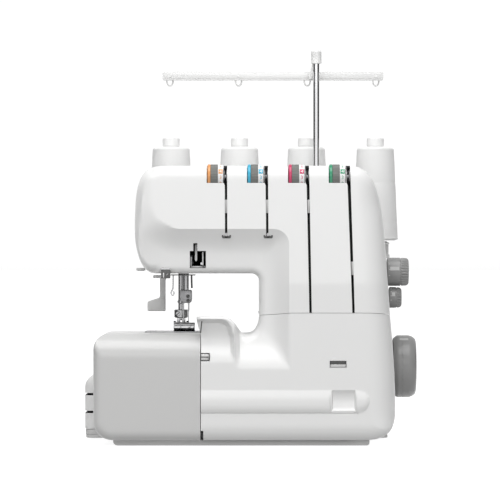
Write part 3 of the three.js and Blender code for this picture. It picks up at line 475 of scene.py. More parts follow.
class Form:
    """Solids in millimetres, gathered into one mesh with several materials."""

    def __init__(self):
        self.bm = bmesh.new()

    def add(self, verts, faces, mat=0, bevel=0.0, segments=2, angle=35):
        part = bmesh.new()
        made = [part.verts.new(v) for v in verts]
        for f in faces:
            part.faces.new([made[i] for i in f])
        bmesh.ops.recalc_face_normals(part, faces=part.faces)
        if bevel:
            least = math.radians(angle)
            sharp = [e for e in part.edges if len(e.link_faces) == 2 and e.calc_face_angle(0) > least]
            values = {"offset": bevel, "segments": segments, "profile": 0.5, "clamp_overlap": True}
            bmesh.ops.bevel(part, geom=sharp, affect="EDGES", **values)
        for f in part.faces:
            f.material_index = mat
        mesh = bpy.data.meshes.new("part")
        part.to_mesh(mesh)
        part.free()
        self.bm.from_mesh(mesh)
        bpy.data.meshes.remove(mesh)
        return self

    def prism(self, outline, plane, low, high, mat=0, bevel=0.0, segments=2):
        """An outline in the plane 'xz', 'xy' or 'yz', from low to high along the third direction."""
        order = {"xz": (0, 2, 1), "xy": (0, 1, 2), "yz": (2, 0, 1)}[plane]
        n = len(outline)
        verts = [tuple((*p, w)[k] for k in order) for w in (low, high) for p in outline]
        faces = [tuple(range(n)), tuple(range(n, 2 * n))]
        faces += [(i, (i + 1) % n, n + (i + 1) % n, n + i) for i in range(n)]
        return self.add(verts, faces, mat, bevel, segments)

    def block(self, xs, ys, zs, mat=0, bevel=0.0, segments=2):
        (x0, x1), (z0, z1) = xs, zs
        outline = [(x0, z0), (x1, z0), (x1, z1), (x0, z1)]
        return self.prism(outline, "xz", *ys, mat, bevel, segments)

    def turned(self, profile, axis, at, steps=48, mat=0, ripple=None):
        """A turned solid. profile holds (radius, distance along the axis[, ripple share]).
        ripple=(count, depth) presses count grooves round it where the share is above 0."""
        verts, faces, rings = [], [], []
        count, depth = ripple or (0, 0)
        for r, h, *share in profile:
            on_axis = r < 1e-6
            rings.append([len(verts) + k for k in range(1 if on_axis else steps)])
            for k in range(len(rings[-1])):
                a = 2 * math.pi * k / steps
                groove = depth * share[0] * (0.5 + 0.5 * math.cos(count * a)) if share else 0
                u, v = (r - groove) * math.cos(a), (r - groove) * math.sin(a)
                place = {"z": (u, v, h), "x": (h, u, v), "y": (u, h, v)}[axis]
                verts.append(tuple(Vector(at) + Vector(place)))
        closed = len(rings[0]) > 1 and len(rings[-1]) > 1
        pairs = list(zip(rings, rings[1:])) + ([(rings[-1], rings[0])] if closed else [])
        for a, b in pairs:
            for k in range(steps if len(a) + len(b) > 2 else 0):
                j = (k + 1) % steps
                if len(a) == 1:
                    faces.append((a[0], b[k], b[j]))
                elif len(b) == 1:
                    faces.append((a[k], b[0], a[j]))
                else:
                    faces.append((a[k], b[k], b[j], a[j]))
        return self.add(verts, faces, mat)

    def rod(self, radius, axis, low, high, at, mat=0, chamfer=0.3, steps=32):
        c = min(chamfer, radius * 0.6)
        inner = radius - c
        profile = [(0, low), (inner, low), (radius, low + c), (radius, high - c), (inner, high), (0, high)]
        return self.turned(profile, axis, at, steps, mat)

    def pipe(self, path, radius, mat=0, steps=10):
        """A bent round rod along the path."""
        path = [Vector(p) for p in path]
        last = len(path) - 1
        verts, faces, side = [], [], None
        for i, p in enumerate(path):
            along = (path[min(i + 1, last)] - path[max(i - 1, 0)]).normalized()
            if side is None:
                side = along.orthogonal().normalized()
            side = (side - along * side.dot(along)).normalized()
            up = along.cross(side)
            for k in range(steps):
                a = 2 * math.pi * k / steps
                verts.append(tuple(p + radius * (math.cos(a) * side + math.sin(a) * up)))
                if i < last:
                    low, high = i * steps, (i + 1) * steps
                    j = (k + 1) % steps
                    faces.append((low + k, low + j, high + j, high + k))
        faces += [tuple(range(steps)), tuple(range(last * steps, (last + 1) * steps))]
        return self.add(verts, faces, mat)

    def mesh(self, materials, angle=32):
        for v in self.bm.verts:
            v.co *= MM
        mesh = bpy.data.meshes.new("form")
        self.bm.to_mesh(mesh)
        self.bm.free()
        for m in materials:
            mesh.materials.append(m)
        shade(mesh, angle)
        return mesh

    def make(self, name, body, materials, slot, replaced=(), angle=32):
        return object_from(self.mesh(materials, angle), name, body, replaced)


def arc_points(cx, cz, r, start, end, steps=12):
    angles = np.radians(np.linspace(start, end, steps + 1))
    return [(cx + r * math.cos(a), cz + r * math.sin(a)) for a in angles]


# ------------------------------------------------------------------ casing outlines and faces
RIGHT_SIDE = [((143.5, 165), (141.5, 190), (140, 214)), ((136, 264), (128, 290.5), (103, 290.5))]
RIM = [(-70, 60), (-14.8, 60), (-14.4, 99), (-13.5, 113.3),
       (-17.7, 127.1), (-22, 132.0), (-30, 134.3), (-70, 134.5)]
CORNER_X, CORNER_Z, CORNER_R = -71, 253.4, 28.6  # the round corner of the face above the sewing space
SCOOP_X = (84.2, 108.8)
RIB_Z, RIB_MID, RIB_R, RIB_END = (35.2, 58.4), 46.8, 11.6, 111.9  # the rib ends in a half circle at RIB_END


def head_outline(seam):
    top = [*RIGHT_SIDE, (-85, TOP_Z), ((-112, TOP_Z), (-119.5, 282), (-119.5, 228))]
    end = ((-119.5, 200), (-113, 178.6), (-98, 178.6))
    arm = [end, (1.3, 178.6), ((5.7, 178.6), (9.3, 175), (9.3, 170.6))]
    return curve(*seam, *top, *arm, steps=22)


def looper_cover_outline(seam):
    right = [(118, COVER_LOW), ((140, COVER_LOW), (151, 14), (151, 38)), ((150.5, 75), (148, 110), seam[-1])]
    inner = [((9.5, 122), (5, 115.4), (-4, 115.4)), ((-13, 115.5), (-13, 134.5), (-30, 134.5))]
    left = [(-55.3, 134.5), ((-55.0, 128), (-53, 119), (-50.7, 117.2))]
    return curve((-50.7, COVER_LOW), *right, *seam[::-1][1:], *inner, *left, steps=20)


def panel_depth(z):
    return FACE_Y + LEAN * np.maximum(0, z - LEAN_Z)


def smooth_min(a, b, k):
    h = np.maximum(k - np.abs(a - b), 0) / k
    return np.minimum(a, b) - h * h * k / 4


def crease_distance(x, z):
    """Distance inside the recess from its top crease and its side crease, which meet in a round corner."""
    a, b = CORNER_X - CORNER_R - x, CREASE_Z - z
    p, q = a + CORNER_R, b + CORNER_R
    corner = np.hypot(np.maximum(p, 0), np.maximum(q, 0)) - CORNER_R
    top = np.where((p > 0) & (q > 0), corner, np.maximum(a, b))
    side = CREASE_X - x
    both = CREASE_R - np.hypot(np.maximum(CREASE_R - top, 0), np.maximum(CREASE_R - side, 0))
    inner = np.where((top < CREASE_R) & (side < CREASE_R), both, np.minimum(top, side))
    below = np.degrees(np.arctan2(np.maximum(q, 1e-6), np.maximum(p, 1e-6)))
    return top, side, inner, smooth((below - 32) / 44)


def end_cap_drop(x, z, drop):
    """The rounded edge at the left end, made into a cap that meets the face at a crease."""
    turn = np.sqrt(np.maximum(0, 1 - (1 - np.clip(drop / 13.0, 0, 1)) ** 2))
    cap = np.maximum(11.5 - 1.35 * 14.0 * (1 - turn), 0) + 1.6 * smooth((turn + 0.1) / 0.7) - 1.6
    share = smooth((-98 - x) / 4) * smooth((z - 196) / 24) * (drop > 0)
    return np.maximum(np.where(x < -90, drop + (cap - drop) * share, drop), 0)


def head_depth(points, drop):
    x, z = points.T
    top, side, inner, below = crease_distance(x, z)
    ramp = 26 + 3 * smooth((top - side) / 24 + 0.5)
    share = np.sin(math.pi / 2 * np.clip(inner / ramp, 0, 1)) * below
    flat = panel_depth(z)
    flank = np.where(x < 0, (1 - below) * 0.29 * (np.sqrt(np.maximum(top, 0) ** 2 + 9) - 3), 0)
    return flat + (COVE_Y - flat) * share - smooth_min(-flank, -end_cap_drop(x, z, drop), 0.8)


def head_edge(x, z):
    width, depth = np.full_like(x, 8.5), np.full_like(x, 8.5)
    right = (x > 100) & (z > SEAM_Z - 2)
    rise = smooth((z - 244) / 46)
    width[right], depth[right] = (28 - 13 * rise)[right], (24 - 11 * rise)[right]
    over = (z > TOP_Z - 1) & (x > -90) & (x <= 104)
    width[over], depth[over] = 15, 13
    left = (x < -84) & (z > 178.8)
    rise = smooth((z - 235) / 50)
    width[left], depth[left] = (13.5 + rise)[left], (15 - 2 * rise)[left]
    seam = (z < SEAM_Z + 1) & (x > 9.6) & (x < 145.2)
    width[seam] = depth[seam] = 0.0
    return width, depth


def seam_line():
    """The joint between head and looper cover: where a plane that falls towards the rear meets the face."""
    quarter = np.linspace(0, math.pi / 2, 14)
    left_end = 9.4 + 9 * (1 - np.cos(np.linspace(0, math.pi / 2, 8)))
    right_end = 145.4 - 29 * (1 - np.cos(quarter[::-1]))
    xs = np.unique(np.clip(np.concatenate([left_end, np.arange(21, 116, 3.0), right_end]), 9.4, 145.4))
    left = np.clip(1 - (xs - 9.3) / 8.5, 0, 1)
    right = np.clip(1 - (145.5 - xs) / 28, 0, 1)
    drop = np.maximum(8.5 * (1 - np.sqrt(1 - left**2)), 24 * (1 - np.sqrt(1 - right**2)))
    y = head_depth(np.column_stack([xs, np.full_like(xs, SEAM_Z)]), drop)
    return [(float(x), float(SEAM_Z - SEAM_TILT * (yy - FACE_Y))) for x, yy in zip(xs, y)]


def looper_cover_depth(points, drop):
    x, z = points.T
    band = 16.5 * np.sin(math.pi / 2 * np.clip((CREASE_X - x) / 28, 0, 1))
    trough = 16.5 * smooth((z - 80) / 42) ** 0.8 * smooth((x + 16) / 6)
    both = np.minimum(band, trough)
    y = FACE_Y + both + (smooth_min(band, trough, 5.0) - both) * smooth(both / 5) + drop
    rim = np.array(RIM, float)
    d = segment_distances(points, rim[:-1], rim[1:]).min(1) * inside(points, rim)
    y += 10 * np.minimum(smooth((d - 2.4) / 5), smooth((z - 86) / 27))
    # The raised rib along the cover, with a thumb scoop pressed into it
    q = np.clip((z - RIB_Z[0]) / (2 * RIB_R), 0, 1)
    inset = np.clip(RIB_R - np.hypot(np.maximum(x - RIB_END, 0), z - RIB_MID), 0, RIB_R)
    end = np.where(x > RIB_END, np.sqrt(np.clip(inset / 5, 0, 1)), 1)
    reach = 2.3 * np.sin(math.pi / 2 * np.clip((1 - q) / 0.5, 0, 1)) * np.sqrt(np.clip(q / 0.3, 0, 1)) * end
    y += 1.3 * ((z > 34.15) & (z < 35.15) & (x < 112))
    in_scoop = (x > SCOOP_X[0]) & (x < SCOOP_X[1]) & (q > 0.02) & (q < 0.98)
    scoop = 3.2 * np.sin(math.pi * (1 - q) ** 0.75) - 2.0 * smooth((0.2 - q) / 0.2)
    return y + np.where(in_scoop, scoop, -reach)


def looper_cover_edge(x, z):
    width, depth = np.full_like(x, 0.6), np.full_like(x, 0.6)
    low = (z < 60) | (x > 140)
    turn = smooth((z - 8) / 30) * (x > 100)
    width[low], depth[low] = (17 + 11 * turn)[low], (10 + 14 * turn)[low]
    left = (x < -50) & (z > 6.6)
    width[left] = depth[left] = 0.5
    seam = (z > 130) & (x > 9.7) & (x < 145.3)
    width[seam] = depth[seam] = 0.0
    inner = (z > 112) & (z < SEAM_Z) & (x <= 9.7) & (x > -50)
    width[inner] = depth[inner] = (3 + 5.5 * smooth((x + 16) / 12))[inner]
    return width, depth


def cover_back(x, z):
    """How far back the looper cover's edge goes: deeper beside the needle and at the right end."""
    deep = np.maximum(smooth((x - 96) / 30), smooth((x + 14) / 5) * smooth((z - 100) / 10))
    return -113 + 12 * deep


def side_cover_depth(points, drop):
    t = np.clip(1 - (SIDE_TOP - points[:, 1]) / SIDE_ROLL, 0, 1)
    roll = SIDE_ROLL * (1 - np.sqrt(np.maximum(0, 1 - t * t)))
    return FACE_Y - smooth_min(-roll, -drop, 2.0)


def side_cover_edge(x, z):
    width, depth = np.full_like(x, 11.0), np.full_like(x, 9.0)
    right = (x > -51.4) & (z > 6.5) & (z < 116.7)
    width[right] = depth[right] = 0.5
    return width, depth


def rear_face(points, drop):
    return REAR_Y - drop


def rear_edge(x, z):
    width = np.full_like(x, 15.0)
    width[(z < 172) & (x < 20)] = 8.0
    width[(z < SEAM_Z + 1) & (x > 9.6) & (x < 145.2)] = 0.5
    return width, width


# ------------------------------------------------------------------ casings
def cut_and_place(mesh, name, body, slot, replaced, *cutters):
    mesh = carved(mesh, *cutters)
    shade(mesh)
    return object_from(mesh, name, body, replaced)


def crease_line():
    """The crease of the face round the sewing space, in steps of about 2 mm."""
    left = CORNER_X - CORNER_R
    corner = arc_points(CORNER_X, CORNER_Z, CORNER_R, 180, 270, 16)[1:]
    turn_x = CREASE_X - CREASE_R
    turn = arc_points(turn_x, CREASE_Z - CREASE_R, CREASE_R, 90, 0, 10)[1:]
    line = [(left, 285), (left, CORNER_Z), *corner, (turn_x, CREASE_Z), *turn, (CREASE_X, SEAM_Z + 1)]
    steps = [np.linspace(a, b, max(2, int(math.dist(a, b) / 2)))[:-1] for a, b in zip(line, line[1:])]
    return [p for step in steps for p in step]


def add_head(seam):
    outline = head_outline([(x, z + 0.2) for x, z in seam])
    shell = skin(outline, head_depth, head_edge, SPLIT_Y - 0.2, lines=[crease_line()])
    windows, room, slots = Form(), Form(), Form()
    for x in DIAL_X:
        left, right = x - 0.6, x + 17.1
        windows.block((left, right), (-135, -84), (272.4, 300))
        # Room behind the window's lower lip, so that the dial turns clear of it
        room.turned([(0, left), (13.5, left), (13.5, right), (0, right)], "x", (0, DIAL_Y, DIAL_Z), 64)
    take_up = [(-62.3, 184.3), (-45.7, 184.3), (-45.7, 202), (-54.5, 202),
               (-54.5, 210), (-58.7, 210), (-58.7, 202), (-62.3, 202)]
    # The take-up window and the hole under the arm are cut with black walls: painted shade inside them.
    windows.prism(take_up, "xz", -135, -88, mat=1)
    windows.block((-84, -56), (-62, -15), (174, 186), mat=1)
    for z in (STITCH_KNOB_Z, FEED_KNOB_Z):
        windows.turned([(0, 125), (5.5, 125), (5.5, 160), (0, 160)], "x", (0, KNOB_Y, z), 24)
    # Black sheets behind the dial windows and the slots: painted shade in the head's interior.
    shade_backing = Form().block((-48, 112), (-84.6, -83.4), (262, 287), bevel=0.2)
    for i, (top, foot, z) in enumerate(zip(SLOT_TOP_X, SLOT_FOOT_X, SLOT_FOOT_Z)):
        low = z - 1 - 6 * (i > 1)
        shape = [(foot - 1.2, low), (foot + 1.2, low), (top + 1.2, 300), (top - 2.6, 300),
                 (top - 2.6, 273), (top - 1.2, 270)]
        # Each slot is cut with black walls: painted shade inside the slot.
        slots.prism(shape, "xz", -135, -96, mat=1)
        upper = foot + (top - foot) * (268 - z) / (TOP_Z - z)
        backing = [(foot - 4, z - 1), (foot + 4, z - 1), (upper + 4, 267), (upper - 4, 267)]
        shade_backing.prism(backing, "xz", -102, -101)
    cut_and_place(shell, "head_shell", "frame", "white_casing", ["head_cover"], windows, room, slots)
    shade_backing.make("head_painted_shade_liner", "frame", [BLACK_AND_SHADE], "black_plastic")


def add_rear():
    outline = head_outline([(9.3, 135.2), (145.5, 135.2)])
    shell = skin(outline, rear_face, rear_edge, SPLIT_Y + 0.2, facing=1, spacing=4, step=3)
    holes = Form().block((-84, -56), (-25, -12), (174, 186))
    holes.turned([(0, 40), (3.7, 40), (3.7, 60), (0, 60)], "y", (-73, 0, 190), 24)
    cut_and_place(shell, "rear_shell", "frame", "white_casing", ["rear_cover"], holes)


def add_looper_cover(seam):
    outline = looper_cover_outline([(x, z - 0.2) for x, z in seam])
    lines = [[(x, RIB_Z[0] + 0.8), (x, 58)] for x in (84.2, 83.9, 108.8, 109.1)]
    lines += [[(x, z) for x in np.arange(-49.5, 112, 2)] for z in (34.1, 34.2, 35.1)]
    rib = [(x, RIB_Z[0]) for x in np.arange(-49.5, 111, 2)]
    rib += arc_points(RIB_END, RIB_MID, RIB_R, -90, 90, 18)
    lines.append(rib + [(x, RIB_Z[1]) for x in np.arange(110, -49.5, -2)])
    shell = skin(outline, looper_cover_depth, looper_cover_edge, cover_back, lines=lines, spacing=2, inner=2)
    holes = Form().block((82.2, 99.5), (-135, -118), (81.8, 88.8))
    holes.block((-60, -41.4), (-135, -118.8), (88.3, 96.7))
    # This notch is cut with black walls: painted shade inside it.
    holes.block((-60, -48.2), (-135, -110), (2, 16.4), mat=1)
    cut_and_place(shell, "looper_cover_shell", "looper_cover", "white_casing", ["looper_cover"], holes)


def add_side_cover():
    outline = rounded(-162, -51.3, COVER_LOW, SIDE_TOP, (20, 0, 0, 17), 12)
    rows = [SIDE_TOP - SIDE_ROLL * (1 - math.cos(math.radians(a))) for a in range(8, 90, 8)]
    lines = [[(x, z) for x in np.arange(-150 - 9 * (z < 100), -52, 2.4)] for z in rows]
    shell = skin(outline, side_cover_depth, side_cover_edge, -18, lines=lines, inner=2)
    shell.materials[0] = GREY
    table = Form().block((-110.5, -40), (-78, -10), (111.8, 125))
    floor = Form().block((-175, -40), (-92, -10), (0, 12.5))
    cut_and_place(shell, "side_cover_shell", "side_cover", "grey_cover", ["side_cover"], table, floor)


def closed_skin(loop, front, rear, edge, spacing=4.0, step=2.5, wall=2.6, inner=1):
    """A hollow closed shell between two faces y = front(points, drop) and y = rear(points, drop)."""
    loop = unit_loop(loop, step)
    verts, faces = triangulated(loop, edge, (), spacing)
    drop = edge_drop(verts, loop, edge)
    form = bmesh.new()
    sides = []
    for y in (front(verts, drop), rear(verts, drop)):
        sides.append([form.verts.new((x * MM, yy * MM, z * MM)) for (x, z), yy in zip(verts, y)])
    for f in faces:
        form.faces.new([sides[0][i] for i in f])
        form.faces.new([sides[1][i] for i in f[::-1]])
    for a, b in open_edges(faces):
        form.faces.new([sides[0][b], sides[0][a], sides[1][a], sides[1][b]])
    bmesh.ops.recalc_face_normals(form, faces=form.faces)
    mesh = bpy.data.meshes.new("closed")
    form.to_mesh(mesh)
    form.free()
    # inner 1 paints the inside faces black: painted shade inside the shell.
    return thicken(mesh, wall, inner)


def add_column():
    outline = curve((-46, COVER_LOW), (124, COVER_LOW), ((140, COVER_LOW), (149.6, 18), (149.6, 38)),
                    ((149, 75), (147, 110), (145.2, 134.3)), (9.5, 134.3),
                    ((9.5, 122), (5, 114), (-4, 114)), (-45.9, 114.2), steps=12)

    def column_edge(x, z):
        width = np.where((x > 126) | (z < 20), 12.0, 1.5)
        return width, width

    faces = (lambda p, drop: -99 + 0.1 * drop, rear_face)
    shell = closed_skin(outline, *faces, column_edge, inner=2)
    doors = Form().block((-42, 46), (-120, -92), (14, 104))
    doors.turned([(0, 130), (7, 130), (7, 165), (0, 165)], "x", (0, WHEEL_Y, WHEEL_Z), 32)
    doors.block((130, 160), (26.5, 43.5), (84.5, 103.5))
    doors.block(*SOCKET_HOLE)
    side = Form().block((-55, -40), (-94, -14), (9.2, 104))
    cut_and_place(shell, "column_shell", "frame", "white_casing", ["lower_casing"], doors, side)


def add_housing():
    def housing_edge(x, z):
        width = np.where(z < 13, 2.0, 11.0)
        return width, width

    outline = rounded(-176, 149.4, BASE_Z, 71, (2, 20, 12, 14), 8)
    shell = closed_skin(outline, lambda p, drop: -8 + 0.6 * drop, lambda p, drop: 84 - drop, housing_edge)
    vents = Form()
    # The vents are cut with black walls: painted shade inside them.
    for z in (49.5, 30.5):
        vents.block((-190, -160), (-12, 68), (z - 1.2, z + 1.2), mat=1)
    for i in range(12):
        vents.block((10 + 6 * i, 13 + 6 * i), (70, 95), (26, 56), mat=1)
    vents.block(*SOCKET_HOLE)
    inside_column = Form().block((-44, 146.8), (-20, 47.2), (5, 90))
    cut_and_place(shell, "housing_shell", "frame", "white_casing", (), vents, inside_column)
    wall = Form().block((-157, -46.2), (-12.5, -8.7), (60, 112.6), bevel=1)
    wall.make("bed_wall", "frame", [WHITE], "white_casing")


# ------------------------------------------------------------------ base, stand and cones
def add_base():
    front = Form().prism(rounded(-142, 124, 0.2, 6.2, (4.5, 3, 0.5, 0.5), 6), "xz", -106, -8, bevel=0.4)
    pockets = Form()
    for x in (-115, 96):
        pockets.rod(12, "z", -3, 1.7, (x, -88, 0), chamfer=0.1, steps=40)
    cut_and_place(front.mesh([BASE, BASE]), "base_front", "frame", "base_moulding", ["base_plate"], pockets)
    base = Form().prism(rounded(-175, 147, -7.4, 82, (8, 8, 8, 8), 6), "xy", 2.8, 6.1, bevel=0.7)
    base.prism(rounded(-175.4, -52, -7.4, 82.4, (8, 1, 1, 8), 6), "xy", 6.1, 12.0, bevel=0.5)
    base.prism(rounded(-43, 147, 51, 82.4, (1, 1, 8, 1), 6), "xy", 6.1, 12.0, bevel=0.5)
    base.make("base_rear", "frame", [LIGHT_GREY], "base_moulding")
    for y, top, name, ends in ((-88, 1.5, "front", (-115, 96)), (66, 2.9, "rear", (-160, 130))):
        pad = [(6, 0.5), (7, 0.4), (7.6, 0), (9.4, 0), (10.6, 0.2), (11.5, 0.8)]
        pad += [(11.5, top), (0, top), (0, 0.5)]
        for side, x in zip(("left", "right"), ends):
            foot = Form().turned(pad, "z", (x, y, 0), 40)
            node = f"foot_{name}_{side}"
            foot.make(node + "_pad", "frame", [RUBBER], "foot_rubber", [node])


def blade(form, at, angle, inner, outer, half, low, high, mat=0):
    """An upright fin that stands out from the axis at, from the inner to the outer radius."""
    c, s = math.cos(math.radians(angle)), math.sin(math.radians(angle))
    corners = ((inner, half), (outer, half), (outer, -half), (inner, -half))
    form.prism([(at[0] + r * c - w * s, at[1] + r * s + w * c) for r, w in corners], "xy", low, high, mat)


def add_stand():
    outline = rounded(-112, 148.5, 66, 127.5, (14,) * 4, 8)
    rim = Form().prism(outline, "xy", 194.0, 196, bevel=0.6)
    tray = Form().prism(outline, "xy", 190, 194.4, bevel=1.2)
    inner = Form().prism(rounded(-109.5, 146, 68.5, 125, (11.5,) * 4, 8), "xy", 193, 198)
    object_from(carved(rim.mesh([WHITE]), inner), "stand_rim", "frame")
    tray.make("stand_tray", "frame", [WHITE], "white_casing", ["spool_stand"])
    bracket = Form().block((30, 112), (50.4, 70), (168, 190), bevel=2.5, segments=3)
    for x in (40, 71, 102):
        bracket.block((x - 1.5, x + 1.5), (68, 84), (176, 190.2), bevel=0.6)
    bracket.turned([(4.7, 187), (7, 187), (7, 204.6), (6, 206), (4.7, 206)], "z", (*POLE, 0), 40)
    bracket.make("stand_bracket", "frame", [WHITE], "white_casing")
    seat_profile = [(0, 194), (15.7, 194), (15.7, 198), (10, 199.5), (9, 203), (9, 208), (15.2, 209.2),
                    (15.7, 210), (15.2, 211), (12, 212.6), (0, 212.6)]
    for i, x in enumerate(CONE_X):
        at = (x, CONE_Y, 0)
        seat = Form().turned(seat_profile, "z", at, 48)
        for k in range(12):
            blade(seat, at, 30 * k + 15, 8, 14.8, 0.6, 198, 209)
        seat.turned([(0, 212), (3, 212), (3, 258), (2, 262), (0, 262)], "z", at, 24)
        seat.make(f"cone_seat_{i + 1}", "frame", [WHITE], "white_casing")
        add_cone(i + 1, at)


def add_cone(number, at):
    """A cone of thread: a plastic core that shows at both ends, and thread wound on it."""
    heights = np.linspace(217, 312, 60)
    wave = 0.10 * np.sin(heights * 1.9) + 0.07 * np.sin(heights * 4.1 + 1)
    dents = 0.35 * (np.exp(-((heights - 233.6) / 0.9) ** 2) + np.exp(-((heights - 276.8) / 0.9) ** 2))
    side = [(24.75 - (h - 216) * 0.0443 + w - 0.15 - d, h) for h, w, d in zip(heights, wave, dents)]
    wound = [(22.2, 214.2), (24.2, 214.5), (24.8, 215.6), *side, (20.0, 313.8), (18.6, 315.1), (16.5, 315.8),
             (9.2, 315.2), (9.0, 300), (9.2, 220), (22.0, 215)]
    core = [(3.6, 213.5), (21.8, 213.5), (22.2, 214.0), (22.2, 214.6), (9.4, 222), (8.6, 312), (9.0, 317),
            (9.4, 317.6), (9.5, 323.6), (9.1, 325.3), (8.4, 325.6), (7.4, 325.2), (7.0, 321), (3.9, 318),
            (3.6, 300)]
    cone = Form().turned(core, "z", at, 48, mat=1)
    cone.turned(wound, "z", at, 96)
    for k in range(8):
        blade(cone, at, 45 * k, 3.7, 7.3, 0.5, 317, 323.5, mat=1)
    cone.make(f"thread_cone_{number}_wound", "frame", [THREAD, SPOOL], "thread", [f"thread_cone_{number}"])


def add_pole():
    at = (*POLE, 0)
    lower = Form().turned([(3.4, 188), (4.3, 188), (4.3, 285.4), (4.0, 286.6), (3.4, 287)], "z", at, 48)
    lower.make("pole_lower", "frame", [CHROME], "plated_steel", ["pole_lower_tube"])
    upper = Form().turned([(0, 250), (3.3, 250), (3.3, 409.6), (2.9, 410), (0, 410)], "z", at, 48)
    upper.make("pole_upper", "thread_pole", [CHROME], "plated_steel", ["pole_upper_tube"])
    cap = [(0, 411.3), (3.35, 411.2), (3.35, 405.4), (5.2, 405.4), (5.7, 406.0), (5.7, 406.6, 0),
           (5.7, 407.0, 1), (5.7, 415.5, 1), (5.7, 416.2, 0), (5.5, 418.6), (4.6, 419.7), (3.2, 420),
           (0, 420)]
    form = Form().turned(cap, "z", at, 72, ripple=(18, 0.3))
    form.make("pole_end_cap", "thread_pole", [WHITE], "white_casing", ["pole_cap"])

    bar = Form()
    bar.prism(rounded(-95.4, 145.5, 388.2, 397.8, (1.4,) * 4, 4), "xz", 86, 90, bevel=0.6)
    bar.prism(rounded(-93, 143, 390.2, 395.8, (1,) * 4, 4), "xz", 85.7, 86.4, bevel=0.25)
    arm = [(68.3, 408), (71.5, 408), (70.6, 399), (69, 392.4), (67, 389.4), (63.6, 389.4), (65.6, 397)]
    bar.prism(arm, "xz", 71.7, 74.4, bevel=0.5)
    bar.block((63.8, 69.4), (73, 87.4), (389.6, 396.6), bevel=0.7)
    for x in (-87.5, -12.5, 62.5, 137.5):
        turns = enumerate(np.radians(np.linspace(70, 440, 25)))
        loop = [(x + 3.3 * math.cos(a), 85.6 + 8 * k / 24, 387.4 + 5.0 * math.sin(a)) for k, a in turns]
        bar.pipe(loop, 0.85)
    bar.make("thread_guide_bar", "thread_pole", [WHITE], "white_casing", ["guide_bar"])


# ------------------------------------------------------------------ knobs and dials
def add_hand_wheel():
    y, z = WHEEL_Y, WHEEL_Z
    profile = [(5.4, 153.5), (13, 153.5), (13, 155.5), (27, 155.5), (28, 151.9), (29.8, 151.9), (31.6, 154.2),
               (32.7, 155.6), (33, 157), (33, 160.4), (32.8, 160.6), (32.8, 161.0), (33, 161.2), (33, 167.4),
               (32.8, 169.0), (32.0, 171.4), (30.6, 173.8), (28.8, 175.3), (26.8, 175.9), (25.2, 176),
               (23.6, 175.2), (21, 173.6), (14, 172.6), (12, 173.2), (5.4, 173.2)]
    wheel = Form().turned(profile, "x", (0, y, z), 144)
    wheel.rod(5.2, "x", 150.5, 173.6, (0, y, z), chamfer=0.8)
    for k in range(6):
        a = math.radians(60 * k + 20)
        wheel.rod(1.6, "x", 172.4, 174.1, (0, y + 17 * math.cos(a), z + 17 * math.sin(a)))
    a = math.radians(118)
    corners = ((31.3, -0.07), (31.3, 0.07), (33.1, 0.07), (33.1, -0.07))
    mark = [(y + r * math.cos(a + t), z + r * math.sin(a + t)) for r, t in corners]
    wheel.prism(mark, "yz", 158.4, 167.6, mat=1)
    wheel.make("hand_wheel", "main_shaft", [KNOB, KNOB_PALE], "knob_grey", ["handwheel"])


def add_knob(name, body, z, radius, low, high, grip, teeth):
    """A fluted knob on the right side, with a pale pointer bar and a row of pale dots."""
    y, mid = KNOB_Y, high - grip
    profile = [(0, 126), (4.4, 126), (4.4, low), (radius - 1.6, low), (radius - 0.4, low + 0.5),
               (radius, low + 1.5), (radius, mid - 1), (radius - 0.6, mid - 0.6), (radius - 0.6, mid, 0),
               (radius - 0.2, mid + 0.5, 1), (radius - 0.4, high - 2.2, 1), (radius - 1.6, high - 0.6, 1),
               (radius - 2.6, high, 0), (radius - 4, high - 0.6), (0, high - 0.6)]
    knob = Form().turned(profile, "x", (0, y, z), teeth * 6, ripple=(teeth, 1.0))
    pointer = [(y - radius - 0.25, z + 1.5), (y - radius + 1.2, z + 1.5), (y - radius + 1.2, z + 5.5),
               (y - radius * 0.96 - 0.1, z + 5.5)]
    knob.prism(pointer, "yz", low + 3, mid - 2, mat=1)
    for k in range(5):
        a = math.radians(180 + 24 * (k - 3.4))
        at = (0, y + (radius - 0.4) * math.cos(a), z + (radius - 0.4) * math.sin(a))
        knob.rod(0.65, "x", low + 1.7, low + 2.9, at, mat=1, chamfer=0.1, steps=10)
    knob.make(name, body, [KNOB, KNOB_PALE], "knob_grey", [body])


def digit_shape(text, size):
    """Flat faces of a digit about its own middle, in millimetres."""
    data = bpy.data.curves.new("digit", "FONT")
    data.body, data.size, data.align_x, data.align_y = text, size, "CENTER", "CENTER"
    data.resolution_u = 3
    holder = bpy.data.objects.new("digit", data)
    bpy.context.scene.collection.objects.link(holder)
    graph = bpy.context.evaluated_depsgraph_get()
    mesh = bpy.data.meshes.new_from_object(holder.evaluated_get(graph), depsgraph=graph)
    points = np.array([v.co[:2] for v in mesh.vertices])
    points -= (points.min(0) + points.max(0)) / 2
    faces = [tuple(p.vertices) for p in mesh.polygons]
    bpy.data.objects.remove(holder)
    bpy.data.meshes.remove(mesh)
    return points, faces


def wrapped(form, points, faces, x, angle, radius, mat):
    """Thin raised print on a dial's drum: flat faces (u, v) laid round it and closed under its surface."""
    verts = []
    for r in (radius, 12.3):
        for u, v in points:
            a = math.radians(angle) + v / radius
            verts.append((x + u, DIAL_Y - r * math.cos(a), DIAL_Z + r * math.sin(a)))
    n = len(points)
    below = [tuple(i + n for i in f[::-1]) for f in faces]
    walls = [(b, a, a + n, b + n) for a, b in open_edges(faces)]
    form.add(verts, [*faces, *below, *walls], mat=mat)


